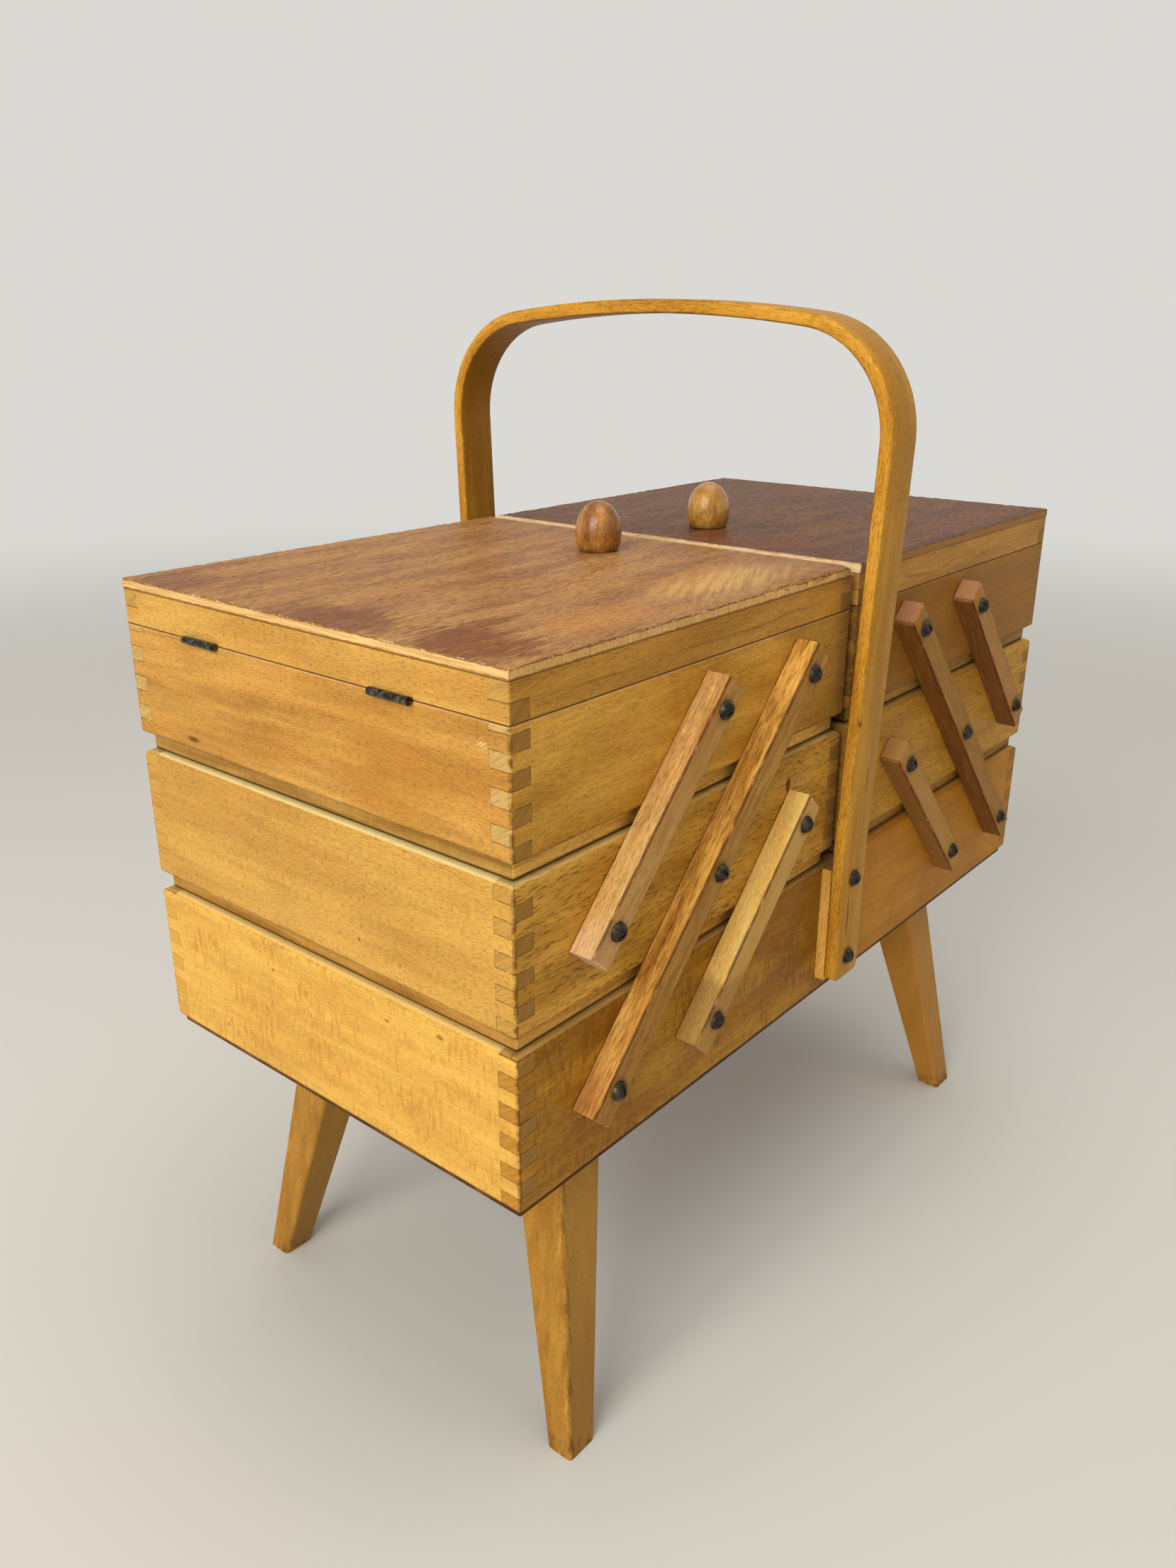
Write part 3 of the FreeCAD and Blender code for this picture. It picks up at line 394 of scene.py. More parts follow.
boards = {
    # gap: the near-black painted shade along the boards' foot and top.
    "gap": (44, 24, 10),
    "middle": look((224, 166, 78), (186, 128, 50), (190, 134, 58), rough=0.55, cloud=(60, 60, 3), endGrain=0),
    "upper": look((244, 190, 96), (206, 150, 64), (190, 134, 58), rough=0.55, cloud=(60, 60, 3), endGrain=0),
    "bottom": look((128, 80, 36), (78, 46, 18), (110, 70, 34), rough=0.6, endGrain=0),
}
for level in ("middle", "upper"):
    wood = Wood(f"{level}_base_wood", boards[level], alongX, 110 + len(level))
    low, high = (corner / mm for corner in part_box(f"left_{level}_base_board"))
    # Painted shade of the recess under the tray walls: the board is darker on its end faces; it is also darker towards
    # the right end.
    wood.darken(wood.ease(wood.facing((1, 0, 0)), 0.6, 0.9), 0.44 if level == "upper" else 0.28)
    wood.darken(wood.ease(wood.x, -30, 20), 0.4)
    # Painted shade: near-black lines along the board's foot and top, where they meet the walls.
    wood.paint(wood.most(wood.ease(wood.z, low.z + 1.7, low.z + 0.9), wood.ease(wood.z, high.z - 1, high.z - 0.5)) * 0.85,
               boards["gap"])
    dress(wood.close(), f"left_{level}_base_board", f"right_{level}_base_board")
wood = Wood("bottom_board_wood", boards["bottom"], alongX, 120)
dress(wood.close(), "lower_bottom_board")


# Legs

legs = {"wood": look((188, 137, 54), (169, 116, 40), (180, 132, 64), fleckTone=0.14, fibreTone=0.24,
                     ringTone=0.1, cloud=(50, 12, 12)),
        "dirt": (84, 56, 30), "foot": (187.6, 104.5), "lean": (20.6 / 150, 23.5 / 150)}


def dressLegs():
    wood = Wood("leg_wood", legs["wood"], alongZ, 130)
    streak = wood.noise(wood.grain, (40, 3.5, 3.5), 3, 0.6, 150)
    wood.darken(wood.ease(streak, 0.6, 0.7), 0.18)
    front = wood.ease(wood.facing((0, 1, 0)), 0.6, 0.9)
    wood.paint(front * 0.4, (176, 136, 62))
    wood.paint(front * wood.ease(wood.z, 110, 20) * 0.4, (138, 92, 38))
    wood.paint(wood.ease(wood.x, -10, 10) * 0.5, (202, 138, 60))
    edge = wood.noise(wood.grain, (40, 60, 60), 2, 0.5, 151)
    nearX = legs["foot"][0] - wood.z * legs["lean"][0] - wood.size(wood.x)
    nearY = legs["foot"][1] - wood.z * legs["lean"][1] - wood.size(wood.y)
    arris = wood.ease(wood.most(nearX, nearY) + edge * 3, 6, 2.5)
    wave = wood.noise(wood.grain, (30, 2, 2), 3, 0.6, 152)
    wood.darken(arris * wood.ease(wave, 0.48, 0.62) * (0.4 + front * 0.6), 0.5)
    wood.paint(arris * (1 - front) * wood.ease(wave, 0.46, 0.36) * 0.35, (232, 182, 92))
    scuff = wood.noise(wood.place, (3, 3, 7), 3, 0.6, 155)
    wood.paint(wood.ease(wood.z, 12, 0.5) * wood.ease(scuff, 0.4, 0.62) * 0.7, legs["dirt"])
    # Painted shade: the top of each leg is darker, under the box.
    wood.darken(wood.ease(wood.z, 146, 150), 0.3)
    dress(wood.close(), *[name for name in nodes if name.startswith("leg_") and "screws" not in name])


dressLegs()


# Arms

# Per arm: the colour painted as shade on the right arms' narrow faces, how far painted shade darkens the left arms'
# outer faces (face), and the outer faces' tan, partly painted shade.
arms = {
    "slope": math.atan2(67, 63), "halfWidth": 6.25, "front": 120,
    "long": {"pivots": ((-177, 189.5), (-114, 256.5), (-51, 323.5)), "shadeSide": (116, 68, 28), "face": 0.3, "streak": 0.28,
             "tan": (200, 140, 52), "wood": look((238, 182, 88), (196, 136, 56), (186, 134, 92), fleckTone=0.4,
                                                 fleck=(6, 0.6, 0.6), fleckFrom=0.55, cloud=(34, 5, 5))},
    "lower": {"pivots": ((-112.5, 189.5), (-49.5, 256.5)), "shadeSide": (128, 82, 36), "face": 0.24, "streak": 0.12,
              "tan": (214, 146, 54), "wood": look((255, 220, 130), (253, 204, 110), (200, 152, 88), fleckTone=0.2,
                                                  cloud=(34, 7, 7))},
    "upper": {"pivots": ((-178.5, 256.5), (-115.5, 323.5)), "shadeSide": (118, 70, 30), "face": 0.14, "streak": 0.26,
              "tan": (222, 156, 70), "wood": look((228, 182, 112), (208, 156, 86), (186, 136, 94), fleckTone=0.36,
                                                  fleck=(3.6, 0.5, 0.5), fleckFrom=0.55, cloud=(34, 7, 7))},
}


def dressArms(side, kind):
    own = arms[kind]
    mirror = 1 if side == "left" else -1
    slope = mirror * arms["slope"]
    wood = Wood(f"{side}_{kind}_arm_wood", own["wood"], (0, slope, 0), 160 + len(kind) * 3 + mirror)
    x, z = own["pivots"][0]
    axis = -mirror * x * math.sin(slope) + z * math.cos(slope)
    across = wood.split(wood.grain)[2] - axis
    smudge = wood.noise(wood.grain, (12, 3, 3), 3, 0.6, 195)
    face = wood.ease(wood.facing((0, 1, 0)), 0.6, 0.95)
    # Right arms: the narrow faces, which face down away from the light, are painted dark as painted shade; the outer
    # faces get a darker tan, partly painted shade.
    if side == "right":
        wood.paint(0.9 - face * 0.34, own["shadeSide"])
        wood.paint(face * 0.7, [value * 0.82 for value in own["tan"]])
        wood.paint(wood.end * 0.8, own["wood"]["endLight"])
    elif kind == "lower":
        wood.paint(wood.ease(wood.z + smudge * 8, 211, 205) * 0.6, (150, 112, 66))
    elif kind == "long":
        wood.paint(wood.ease(smudge, 0.54, 0.66) * 0.5, (128, 72, 28))
        wood.paint(wood.ease(wood.z + smudge * 30, 232, 206) * 0.45, (156, 96, 62))
    else:
        wood.paint(wood.ease(wood.z + smudge * 20, 276, 262) * 0.4, (240, 206, 168))
        wood.paint(wood.ease(wood.z + smudge * 30, 300, 328) * wood.ease(smudge, 0.3, 0.6) * 0.5, (158, 98, 44))
    # Left arms: the outer faces are darkened and painted a darker tan as painted shade beside the narrow faces, which
    # face up into the light; the tan is partly their own colour.
    if side == "left":
        wood.darken(face, own["face"])
        wood.paint(face * 0.55, [value * 0.86 for value in own["tan"]])
    streak = wood.noise(wood.grain, (18, 0.9, 0.9), 4, 0.66, 185)
    wood.darken(wood.ease(streak, 0.48, 0.66), own["streak"])
    wood.paint(wood.ease(streak, 0.44, 0.34) * 0.2, (236, 190, 124))
    chips = wood.noise(wood.grain, (7, 1.2, 1.2), 3, 0.6, 180)
    rim = wood.ease(wood.size(across), arms["halfWidth"] - 1.1, arms["halfWidth"] - 0.4)
    rim = rim * wood.ease(wood.size(wood.y), arms["front"] - 1.4, arms["front"] - 0.4)
    wood.paint(rim * wood.ease(chips, 0.3, 0.48) * 0.85, (84, 42, 18))
    # darker around each screw head
    headRing = wood.noise(wood.grain, (9, 3, 3), 3, 0.6, 190)
    for x, z in own["pivots"]:
        near = wood.spot((mirror * x, 0, z), (6.6, 1200, 6.6), 0.4)
        wood.darken(near * wood.ease(headRing, 0.34, 0.6), 0.4)
    dress(wood.close(0.1), f"{side}_{kind}_arm_front", f"{side}_{kind}_arm_back")


for side in ("left", "right"):
    for kind in ("long", "lower", "upper"):
        dressArms(side, kind)
print("frames, boards, legs and arms dressed")


# Modelling helpers

def startPiece(name):  # takes the primitive just added into edit mode
    piece = bpy.context.object
    piece.name = name
    piece.data.name = name
    bpy.ops.object.transform_apply(location=True, rotation=True, scale=True)
    bpy.ops.object.mode_set(mode="EDIT")
    bpy.ops.mesh.select_all(action="SELECT")
    return piece


def choose(piece, kind, test):  # selects the points, edges or faces whose place and direction pass the test
    bpy.ops.mesh.select_mode(type={"verts": "VERT", "edges": "EDGE", "faces": "FACE"}[kind])
    bpy.ops.mesh.select_all(action="DESELECT")
    shape = bmesh.from_edit_mesh(piece.data)
    for item in getattr(shape, kind):
        if kind == "verts":
            place, direction = item.co, item.normal
        elif kind == "edges":
            place, direction = (item.verts[0].co + item.verts[1].co) / 2, item.verts[1].co - item.verts[0].co
        else:
            place, direction = item.calc_center_median(), item.normal
        item.select_set(test(place / mm, direction.normalized()))
    bmesh.update_edit_mesh(piece.data)


def cut(place, direction, **others):
    bpy.ops.mesh.select_all(action="SELECT")
    bpy.ops.mesh.bisect(plane_co=[value * mm for value in place], plane_no=direction, **others)


def endPiece(piece, angle=35):
    bpy.ops.mesh.select_all(action="SELECT")
    bpy.ops.mesh.remove_doubles(threshold=0.01 * mm)
    bpy.ops.mesh.normals_make_consistent(inside=False)
    bpy.ops.object.mode_set(mode="OBJECT")
    bpy.ops.object.shade_smooth_by_angle(angle=math.radians(angle))


def clearSelection():
    bpy.ops.object.select_all(action="DESELECT")


# Round-head screws

screws = {"head": 7.9, "dome": 3.2, "slot": 1.1, "deep": 1.2, "shank": 4, "reach": 17, "soft": 0.16,
          "armSeat": 120.1, "bowSeat": 119.7}


def makeScrew():
    dome = screws["dome"]
    ball = (screws["head"] ** 2 / 4 + dome ** 2) / (2 * dome)
    slotFloor = dome - screws["deep"]
    clearSelection()
    bpy.ops.mesh.primitive_uv_sphere_add(segments=36, ring_count=24, radius=ball * mm, location=(0, 0, (dome - ball) * mm))
    piece = startPiece("round_screw")
    cut((0, 0, 0), (0, 0, 1), clear_inner=True, use_fill=True)
    for side in (-1, 1):
        cut((side * screws["slot"] / 2, 0, 0), (1, 0, 0))
    cut((0, 0, slotFloor), (0, 0, 1))
    choose(piece, "faces", lambda place, normal: abs(place.x) < screws["slot"] / 2 and place.z > slotFloor)
    bpy.ops.mesh.extrude_region_move(TRANSFORM_OT_translate={"value": (0, 0, -0.1 * mm)})
    bpy.ops.transform.resize(value=(1, 1, 0), center_override=(0, 0, slotFloor * mm))
    choose(piece, "faces", lambda place, normal: place.z < 0.01)
    bpy.ops.mesh.inset(thickness=(screws["head"] - screws["shank"]) / 2 * mm)
    bpy.ops.mesh.extrude_region_move(TRANSFORM_OT_translate={"value": (0, 0, -screws["reach"] * mm)})
    bpy.ops.mesh.select_all(action="SELECT")
    bpy.ops.mesh.remove_doubles(threshold=0.01 * mm)
    bpy.ops.mesh.select_all(action="DESELECT")
    bpy.ops.mesh.edges_select_sharp(sharpness=math.radians(50))
    bpy.ops.mesh.bevel(offset=screws["soft"] * mm, segments=2)
    endPiece(piece, 40)
    return piece


def placeScrews(name, model, body, groups):  # groups: seat, then the (x, z) of each screw
    clearSelection()
    turn = 25 + 37 * len(name)
    for seat, centres in groups:
        for x, z in centres:
            for side in (-1, 1):
                copy = model.copy()
                copy.data = model.data.copy()
                bpy.context.scene.collection.objects.link(copy)
                turn = (turn + 67) % 180
                tilt = Matrix.Rotation(math.radians(-90 * side), 4, "X")
                spin = Matrix.Rotation(math.radians(turn), 4, "Z")
                copy.matrix_world = Matrix.Translation(Vector((x, side * seat, z)) * mm) @ tilt @ spin
                copy.select_set(True)
                bpy.context.view_layer.objects.active = copy
    bpy.ops.object.join()
    piece = bpy.context.object
    bpy.ops.object.transform_apply(location=True, rotation=True, scale=True)
    piece.name = name
    piece.data.name = name
    piece.data.materials.clear()
    piece.data.materials.append(screwMetal)
    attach(piece, body)
    return piece


def metalFinish(name, light, dark, rust, rough, grit):
    metal = Finish(name)
    worn = metal.noise(metal.place, (grit * 3, grit * 3, grit * 3), 3, 0.6, 3)
    fine = metal.noise(metal.place, (grit, grit, grit), 2, 0.6, 5)
    bloom = metal.noise(metal.place, (grit * 4, grit * 4, grit * 4), 3, 0.6, 9)
    colour = metal.mix(metal.ease(worn, 0.42, 0.66), tint(*dark), tint(*light))
    patch = metal.ease(bloom, 0.54, 0.68)
    metal.feed("Base Color", metal.mix(patch * 0.7, colour, tint(*rust)))
    metal.feed("Roughness", rough + (fine - 0.5) * 0.3 + patch * 0.2)
    metal.feed("Metallic", 0.7 - patch * 0.4)
    metal.bump(fine + worn, 0.02)
    return metal.material


screwMetal = metalFinish("screw_bronze", (78, 68, 50), (36, 31, 24), (54, 40, 26), 0.4, 0.9)
hingeMetal = metalFinish("hinge_steel", (106, 98, 86), (28, 25, 21), (40, 33, 25), 0.26, 0.7)
dress(hingeMetal, *[name for name in nodes if "hinge" in name])
dress(screwMetal, "leg_screws")

lowPivots = [arms["long"]["pivots"][0], arms["lower"]["pivots"][0]]
middlePivots = [arms["long"]["pivots"][1], arms["lower"]["pivots"][1], arms["upper"]["pivots"][0]]
upperPivots = [arms["long"]["pivots"][2], arms["upper"]["pivots"][1]]
screwModel = makeScrew()
allLow = lowPivots + [(-x, z) for x, z in lowPivots]
bowCentres = [(0, 172.4), (0, 213.5)]
lowScrews = placeScrews("lower_screws", screwModel, "lower_box", [(screws["armSeat"], allLow), (screws["bowSeat"], bowCentres)])
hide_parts("lower_round_head_screws")
for side, mirror in (("left", 1), ("right", -1)):
    for level, centres in (("middle", middlePivots), ("upper", upperPivots)):
        group = [(screws["armSeat"], [(mirror * x, z) for x, z in centres])]
        piece = placeScrews(f"{side}_{level}_screws", screwModel, f"{side}_{level}_tray", group)
        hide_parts(f"{side}_{level}_pivot_screws")
bpy.data.objects.remove(screwModel)
print("screws made")


# Handle bow: a straight strip with soft edges, bent along its middle line

bow = {
    "width": 22, "thick": 6, "soft": 1, "footRound": 4, "joints": 170,
    "footY": 116.7, "footZ": 161.5, "kneeZ": 222, "bend": 400, "lean": math.radians(1.97),
    "shoulder": (76, 412.41, 47), "crown": (-175.7, 640),
    "wood": look((222, 162, 58), (192, 130, 38), (190, 140, 62), fleckTone=0.34, cloud=(60, 9, 9)),
}


def bowKnots():  # (across, up, heading) of the middle line's knots, from the front foot to the top's middle and on
    lean = bow["lean"]
    shoulderY, shoulderZ, shoulderR = bow["shoulder"]
    crownZ, crownR = bow["crown"]
    tip = math.atan2(shoulderY, shoulderZ - crownZ)
    up = math.radians(90)
    half = [
        (-bow["footY"], bow["footZ"], up),
        (-bow["footY"], bow["kneeZ"], up),
        (-bow["footY"] - bow["bend"] * (1 - math.cos(lean)), bow["kneeZ"] + bow["bend"] * math.sin(lean), up + lean),
        (-shoulderY - shoulderR * math.cos(lean), shoulderZ - shoulderR * math.sin(lean), up + lean),
        (-crownR * math.sin(tip), crownZ + crownR * math.cos(tip), tip),
    ]
    return half + [(-y, z, -heading) for y, z, heading in reversed(half)]


def drawBowPath():
    clearSelection()
    bpy.ops.curve.primitive_bezier_curve_add(location=(0, 0, 0))
    path = bpy.context.object
    path.data.dimensions = "2D"
    path.data.resolution_u = 64
    knots = bowKnots()
    points = path.data.splines[0].bezier_points
    points.add(len(knots) - len(points))
    length = 0
    for point, (y, z, heading) in zip(points, knots):
        point.handle_left_type = point.handle_right_type = "FREE"
        point.co = Vector((y, z, 0)) * mm
        point.handle_left = point.handle_right = point.co
    for first, second, (_, _, headingA), (_, _, headingB) in zip(points, points[1:], knots, knots[1:]):
        turn = abs(headingB - headingA)
        chord = (second.co - first.co).length
        radius = chord / 2 / math.sin(turn / 2) if turn > 0.001 else 0
        reach = radius * 4 / 3 * math.tan(turn / 4) if radius else chord / 3
        length += radius * turn if radius else chord
        first.handle_right = first.co + Vector((math.cos(headingA), math.sin(headingA), 0)) * reach
        second.handle_left = second.co - Vector((math.cos(headingB), math.sin(headingB), 0)) * reach
    return path, length


def makeBow():
    path, length = drawBowPath()
    clearSelection()
    bpy.ops.mesh.primitive_cube_add(size=1, location=(length / 2, 0, 0))
    bpy.context.object.scale = (length, bow["thick"] * mm, bow["width"] * mm)
    strip = startPiece("handle_strip")
    long = length / mm
    choose(strip, "edges", lambda place, run: abs(run.y) > 0.9)
    bpy.ops.mesh.bevel(offset=bow["footRound"] * mm, segments=6)
    choose(strip, "edges", lambda place, run: abs(run.y) < 0.1 and abs(place.y) > bow["thick"] / 2 - 0.01)
    bpy.ops.mesh.bevel(offset=bow["soft"] * mm, segments=3)
    for number in range(1, bow["joints"]):
        cut((long * number / bow["joints"], 0, 0), (1, 0, 0))
    endPiece(strip, 30)
    grain = strip.data.attributes.new("grain", "FLOAT_VECTOR", "POINT")
    for point, value in zip(strip.data.vertices, grain.data):
        value.vector = point.co / mm
    bend = strip.modifiers.new("bend", "CURVE")
    bend.object = path
    bpy.context.view_layer.objects.active = strip
    bpy.ops.object.modifier_apply(modifier="bend")
    strip.matrix_world = Matrix(((0, 0, 1, 0), (1, 0, 0, 0), (0, 1, 0, 0), (0, 0, 0, 1)))
    clearSelection()
    strip.select_set(True)
    bpy.ops.object.transform_apply(location=True, rotation=True, scale=True)
    bpy.data.objects.remove(path)
    return strip, long


def bowFinish(long):
    wood = Wood("handle_wood", bow["wood"], alongX, 200, "grain")
    chips = wood.noise(wood.grain, (9, 1.6, 1.6), 3, 0.6, 210)
    arris = wood.ease(wood.size(wood.y), bow["thick"] / 2 - 1.1, bow["thick"] / 2 - 0.5)
    arris = arris * wood.ease(wood.size(wood.z), bow["width"] / 2 - 1.1, bow["width"] / 2 - 0.5)
    wood.darken(arris * wood.ease(chips, 0.46, 0.62), 0.45)
    seam = wood.noise(wood.grain, (26, 0.9, 0.9), 3, 0.6, 215)
    wood.darken(wood.ease(seam, 0.64, 0.72), 0.3)
    fromFoot = long / 2 - wood.size(wood.x - long / 2)
    wood.darken(wood.ease(fromFoot, 3, 0.5), 0.25)
    broad = wood.ease(wood.size(wood.y), bow["thick"] / 2 - 0.6, bow["thick"] / 2 - 0.1)
    wood.paint(broad * 0.45, (170, 120, 22))
    wood.darken(wood.ease(wood.y, -2, -2.8), 0.32)  # darker on the bow's inner face
    tremble = wood.noise(wood.grain, (5, 1.4, 1.4), 3, 0.6, 218)
    streaked = wood.vector("ADD", wood.real, wood.join(tremble * 2 - 1, 0, 0))
    wood.paint(wood.spot((-3, -120, 194), (0.9, 4, 15), 0.6, streaked) * 0.75, (84, 56, 24))
    wood.paint(wood.spot((3, -122.5, 262), (1.1, 4, 11), 0.6, streaked) * 0.7, (70, 40, 18))
    wood.paint(wood.spot((-11, -122, 292), (3, 1.2, 2.2), 0.6, streaked) * 0.8, (92, 52, 18))
    for screwZ in (172.4, 213.5):
        wood.darken(wood.spot((0, 0, screwZ), (6.6, 1200, 6.6), 0.4), 0.3)
    return wood.close(0.18)


handle, handleLong = makeBow()
handle.data.materials.clear()
handle.data.materials.append(bowFinish(handleLong))
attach(handle, "lower_box")
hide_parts("handle_bow")
spacerWood = Wood("spacer_wood", look((248, 192, 96), (222, 164, 72), (190, 140, 70)), alongZ, 220)
dress(spacerWood.close(), "handle_spacers")
print("handle made")


# Knobs: an egg cut flat at its foot, glossy with varnish

knob = {
    "width": 21.4, "high": 22.5, "foot": 17.8, "tenon": 8, "tenonHigh": 3.9, "away": 44, "floor": 359.3, "soft": 0.7,
    "left": look((192, 134, 62), (140, 84, 34), (176, 114, 56), fibre=(9, 0.8, 0.8), fibreTone=0.4,
                 cloud=(16, 6, 6), figure=(40, 6, 6), rings=4, ringTone=0.14, rough=0.3, depth=0.06),
    "right": look((204, 152, 70), (168, 116, 46), (196, 140, 70), fibre=(9, 0.8, 0.8), fibreTone=0.36,
                  cloud=(16, 6, 6), figure=(40, 6, 6), rings=4, ringTone=0.14, rough=0.3, depth=0.06),
}


def makeKnob(side, mirror, shift):
    share = math.sqrt(1 - (knob["foot"] / knob["width"]) ** 2)
    half = knob["high"] / (1 + share)
    centre = (-mirror * knob["away"], 0, knob["floor"] + half * share)
    clearSelection()
    bpy.ops.mesh.primitive_uv_sphere_add(segments=56, ring_count=36, radius=1, location=Vector(centre) * mm)
    bpy.context.object.scale = Vector((knob["width"] / 2, knob["width"] / 2, half)) * mm
    piece = startPiece(f"{side}_turned_knob")
    cut((0, 0, knob["floor"]), (0, 0, 1), clear_inner=True, use_fill=True)
    choose(piece, "edges", lambda place, run: abs(place.z - knob["floor"]) < 0.01)
    bpy.ops.mesh.bevel(offset=knob["soft"] * mm, segments=3)
    choose(piece, "faces", lambda place, normal: normal.z < -0.99)
    bpy.ops.mesh.inset(thickness=((knob["foot"] - knob["tenon"]) / 2 - knob["soft"]) * mm)
    bpy.ops.mesh.extrude_region_move(TRANSFORM_OT_translate={"value": (0, 0, -knob["tenonHigh"] * mm)})
    endPiece(piece, 50)

    wood = Wood(f"{side}_knob_wood", knob[side], alongZ, shift)
    grime = wood.noise(wood.place, (5, 5, 3), 3, 0.6, shift + 2)
    wood.darken(wood.ease(wood.z, knob["floor"] + 5, knob["floor"] + 0.5) * wood.ease(grime, 0.3, 0.6), 0.6)
    wood.darken(wood.ease(grime, 0.56, 0.72), 0.35)
    if side == "left":
        wood.paint(wood.spot((-48, 4, 380), (8, 10, 5), 0.6) * wood.ease(grime, 0.4, 0.56) * 0.7, (120, 50, 24))
    piece.data.materials.append(wood.close(0.4, 0.5))
    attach(piece, f"{side}_lid")
    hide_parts(f"{side}_knob")


# Lid panels: plywood with a walnut face, its edges worn ragged

panel = {
    "rim": 2.2, "soft": 0.5, "joints": 132, "plies": (355.7, 357.2, 358.4), "jitter": 0.32,
    "grain": {"fibre": (8, 0.44, 0.44), "fibreTone": 0.34, "fleck": (4, 0.4, 0.4), "fleckFrom": 0.56,
              "fleckSoft": 0.03, "fleckTone": 0.4, "cloud": (60, 11, 11), "figure": (90, 14, 14), "rings": 4,
              "ringTone": 0.12, "rough": 0.46, "depth": 0.08},
    "tones": {"left": ((190, 137, 78), (166, 110, 58), (236, 200, 134)),
              "right": ((126, 82, 50), (94, 55, 30), (236, 200, 134))},
    "splinter": (-75, -20),
    "left": [((-148, -86), (50, 24), (206, 138, 62), 0.45), ((-60, -76), (74, 26), (196, 122, 58), 0.5),
             ((-206, -78), (30, 38), (122, 58, 16), 0.74), ((-184, -63), (34, 6), (126, 64, 20), 0.7),
             ((-210, -15), (26, 46), (116, 66, 34), 0.7), ((-210, 84), (26, 30), (122, 76, 42), 0.6)],
    "right": [((20, -40), (46, 60), (128, 66, 36), 0.5), ((140, -90), (90, 24), (124, 72, 42), 0.5),
              ((150, 60), (90, 50), (112, 74, 50), 0.5)],
    "pale": (-62, -84), "paleRadii": (70, 27),
}


def makePanel(side, seed):
    low, high = (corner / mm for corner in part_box(f"{side}_lid_panel"))
    size = high - low
    clearSelection()
    bpy.ops.mesh.primitive_plane_add(size=1, location=((low.x + high.x) / 2 * mm, 0, high.z * mm))
    bpy.context.object.scale = (size.x * mm, size.y * mm, 1)
    piece = startPiece(f"{side}_panel")

    def outer(place, margin):
        beyond = min(place.x - low.x, high.x - place.x, place.y - low.y, high.y - place.y)
        return beyond < margin

    bpy.ops.mesh.inset(thickness=panel["rim"] * mm)
    bpy.ops.mesh.select_all(action="SELECT")
    bpy.ops.mesh.extrude_region_move(TRANSFORM_OT_translate={"value": (0, 0, -size.z * mm)})
    choose(piece, "edges", lambda place, run: outer(place, 0.01) and place.z > high.z - 0.01)
    bpy.ops.mesh.bevel(offset=panel["soft"] * mm, segments=2)
    for level in panel["plies"]:
        cut((0, 0, level), (0, 0, 1))
    choose(piece, "faces", lambda place, normal: abs(normal.z) > 0.99 and not outer(place, panel["rim"] + 1))
    bpy.ops.mesh.delete(type="FACE")
    choose(piece, "edges", lambda place, run: abs(run.z) < 0.01 and max(abs(run.x), abs(run.y)) > 0.99)
    bpy.ops.mesh.subdivide(number_cuts=panel["joints"])
    for level in (low.z, high.z):
        choose(piece, "edges", lambda place, run: False)
        shape = bmesh.from_edit_mesh(piece.data)
        for edge in shape.edges:
            edge.select_set(edge.is_boundary and abs(edge.verts[0].co.z / mm - level) < 0.01)
        bmesh.update_edit_mesh(piece.data)
        bpy.ops.mesh.edge_face_add()
    choose(piece, "verts", lambda place, normal: outer(place, 0.6) and place.z > low.z + 0.2)
    bpy.ops.transform.vertex_random(offset=panel["jitter"] * mm, uniform=1, normal=0, seed=seed)
    if side == "left":
        first, last = panel["splinter"]
        choose(piece, "verts", lambda place, normal: first < place.x < last and place.y < -108.2 and place.z > 358.2)
        bpy.ops.transform.translate(value=(0, 0.9 * mm, -0.3 * mm))
        bpy.ops.transform.vertex_random(offset=0.4 * mm, uniform=1, normal=0, seed=seed + 1)
        choose(piece, "verts", lambda place, normal: place.x > -6 and place.y < -105 and place.z > 357)
        bpy.ops.transform.translate(value=(-0.9 * mm, 0.9 * mm, -0.9 * mm))
    keepInside(piece, low, high)
    endPiece(piece, 40)
    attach(piece, f"{side}_lid")
    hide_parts(f"{side}_lid_panel")
    return piece


def keepInside(piece, low, high):  # the ragged rim never stands past the panel's own box
    shape = bmesh.from_edit_mesh(piece.data)
    for point in shape.verts:
        for axis in range(3):
            point.co[axis] = min(max(point.co[axis], low[axis] * mm), high[axis] * mm)
    bmesh.update_edit_mesh(piece.data)


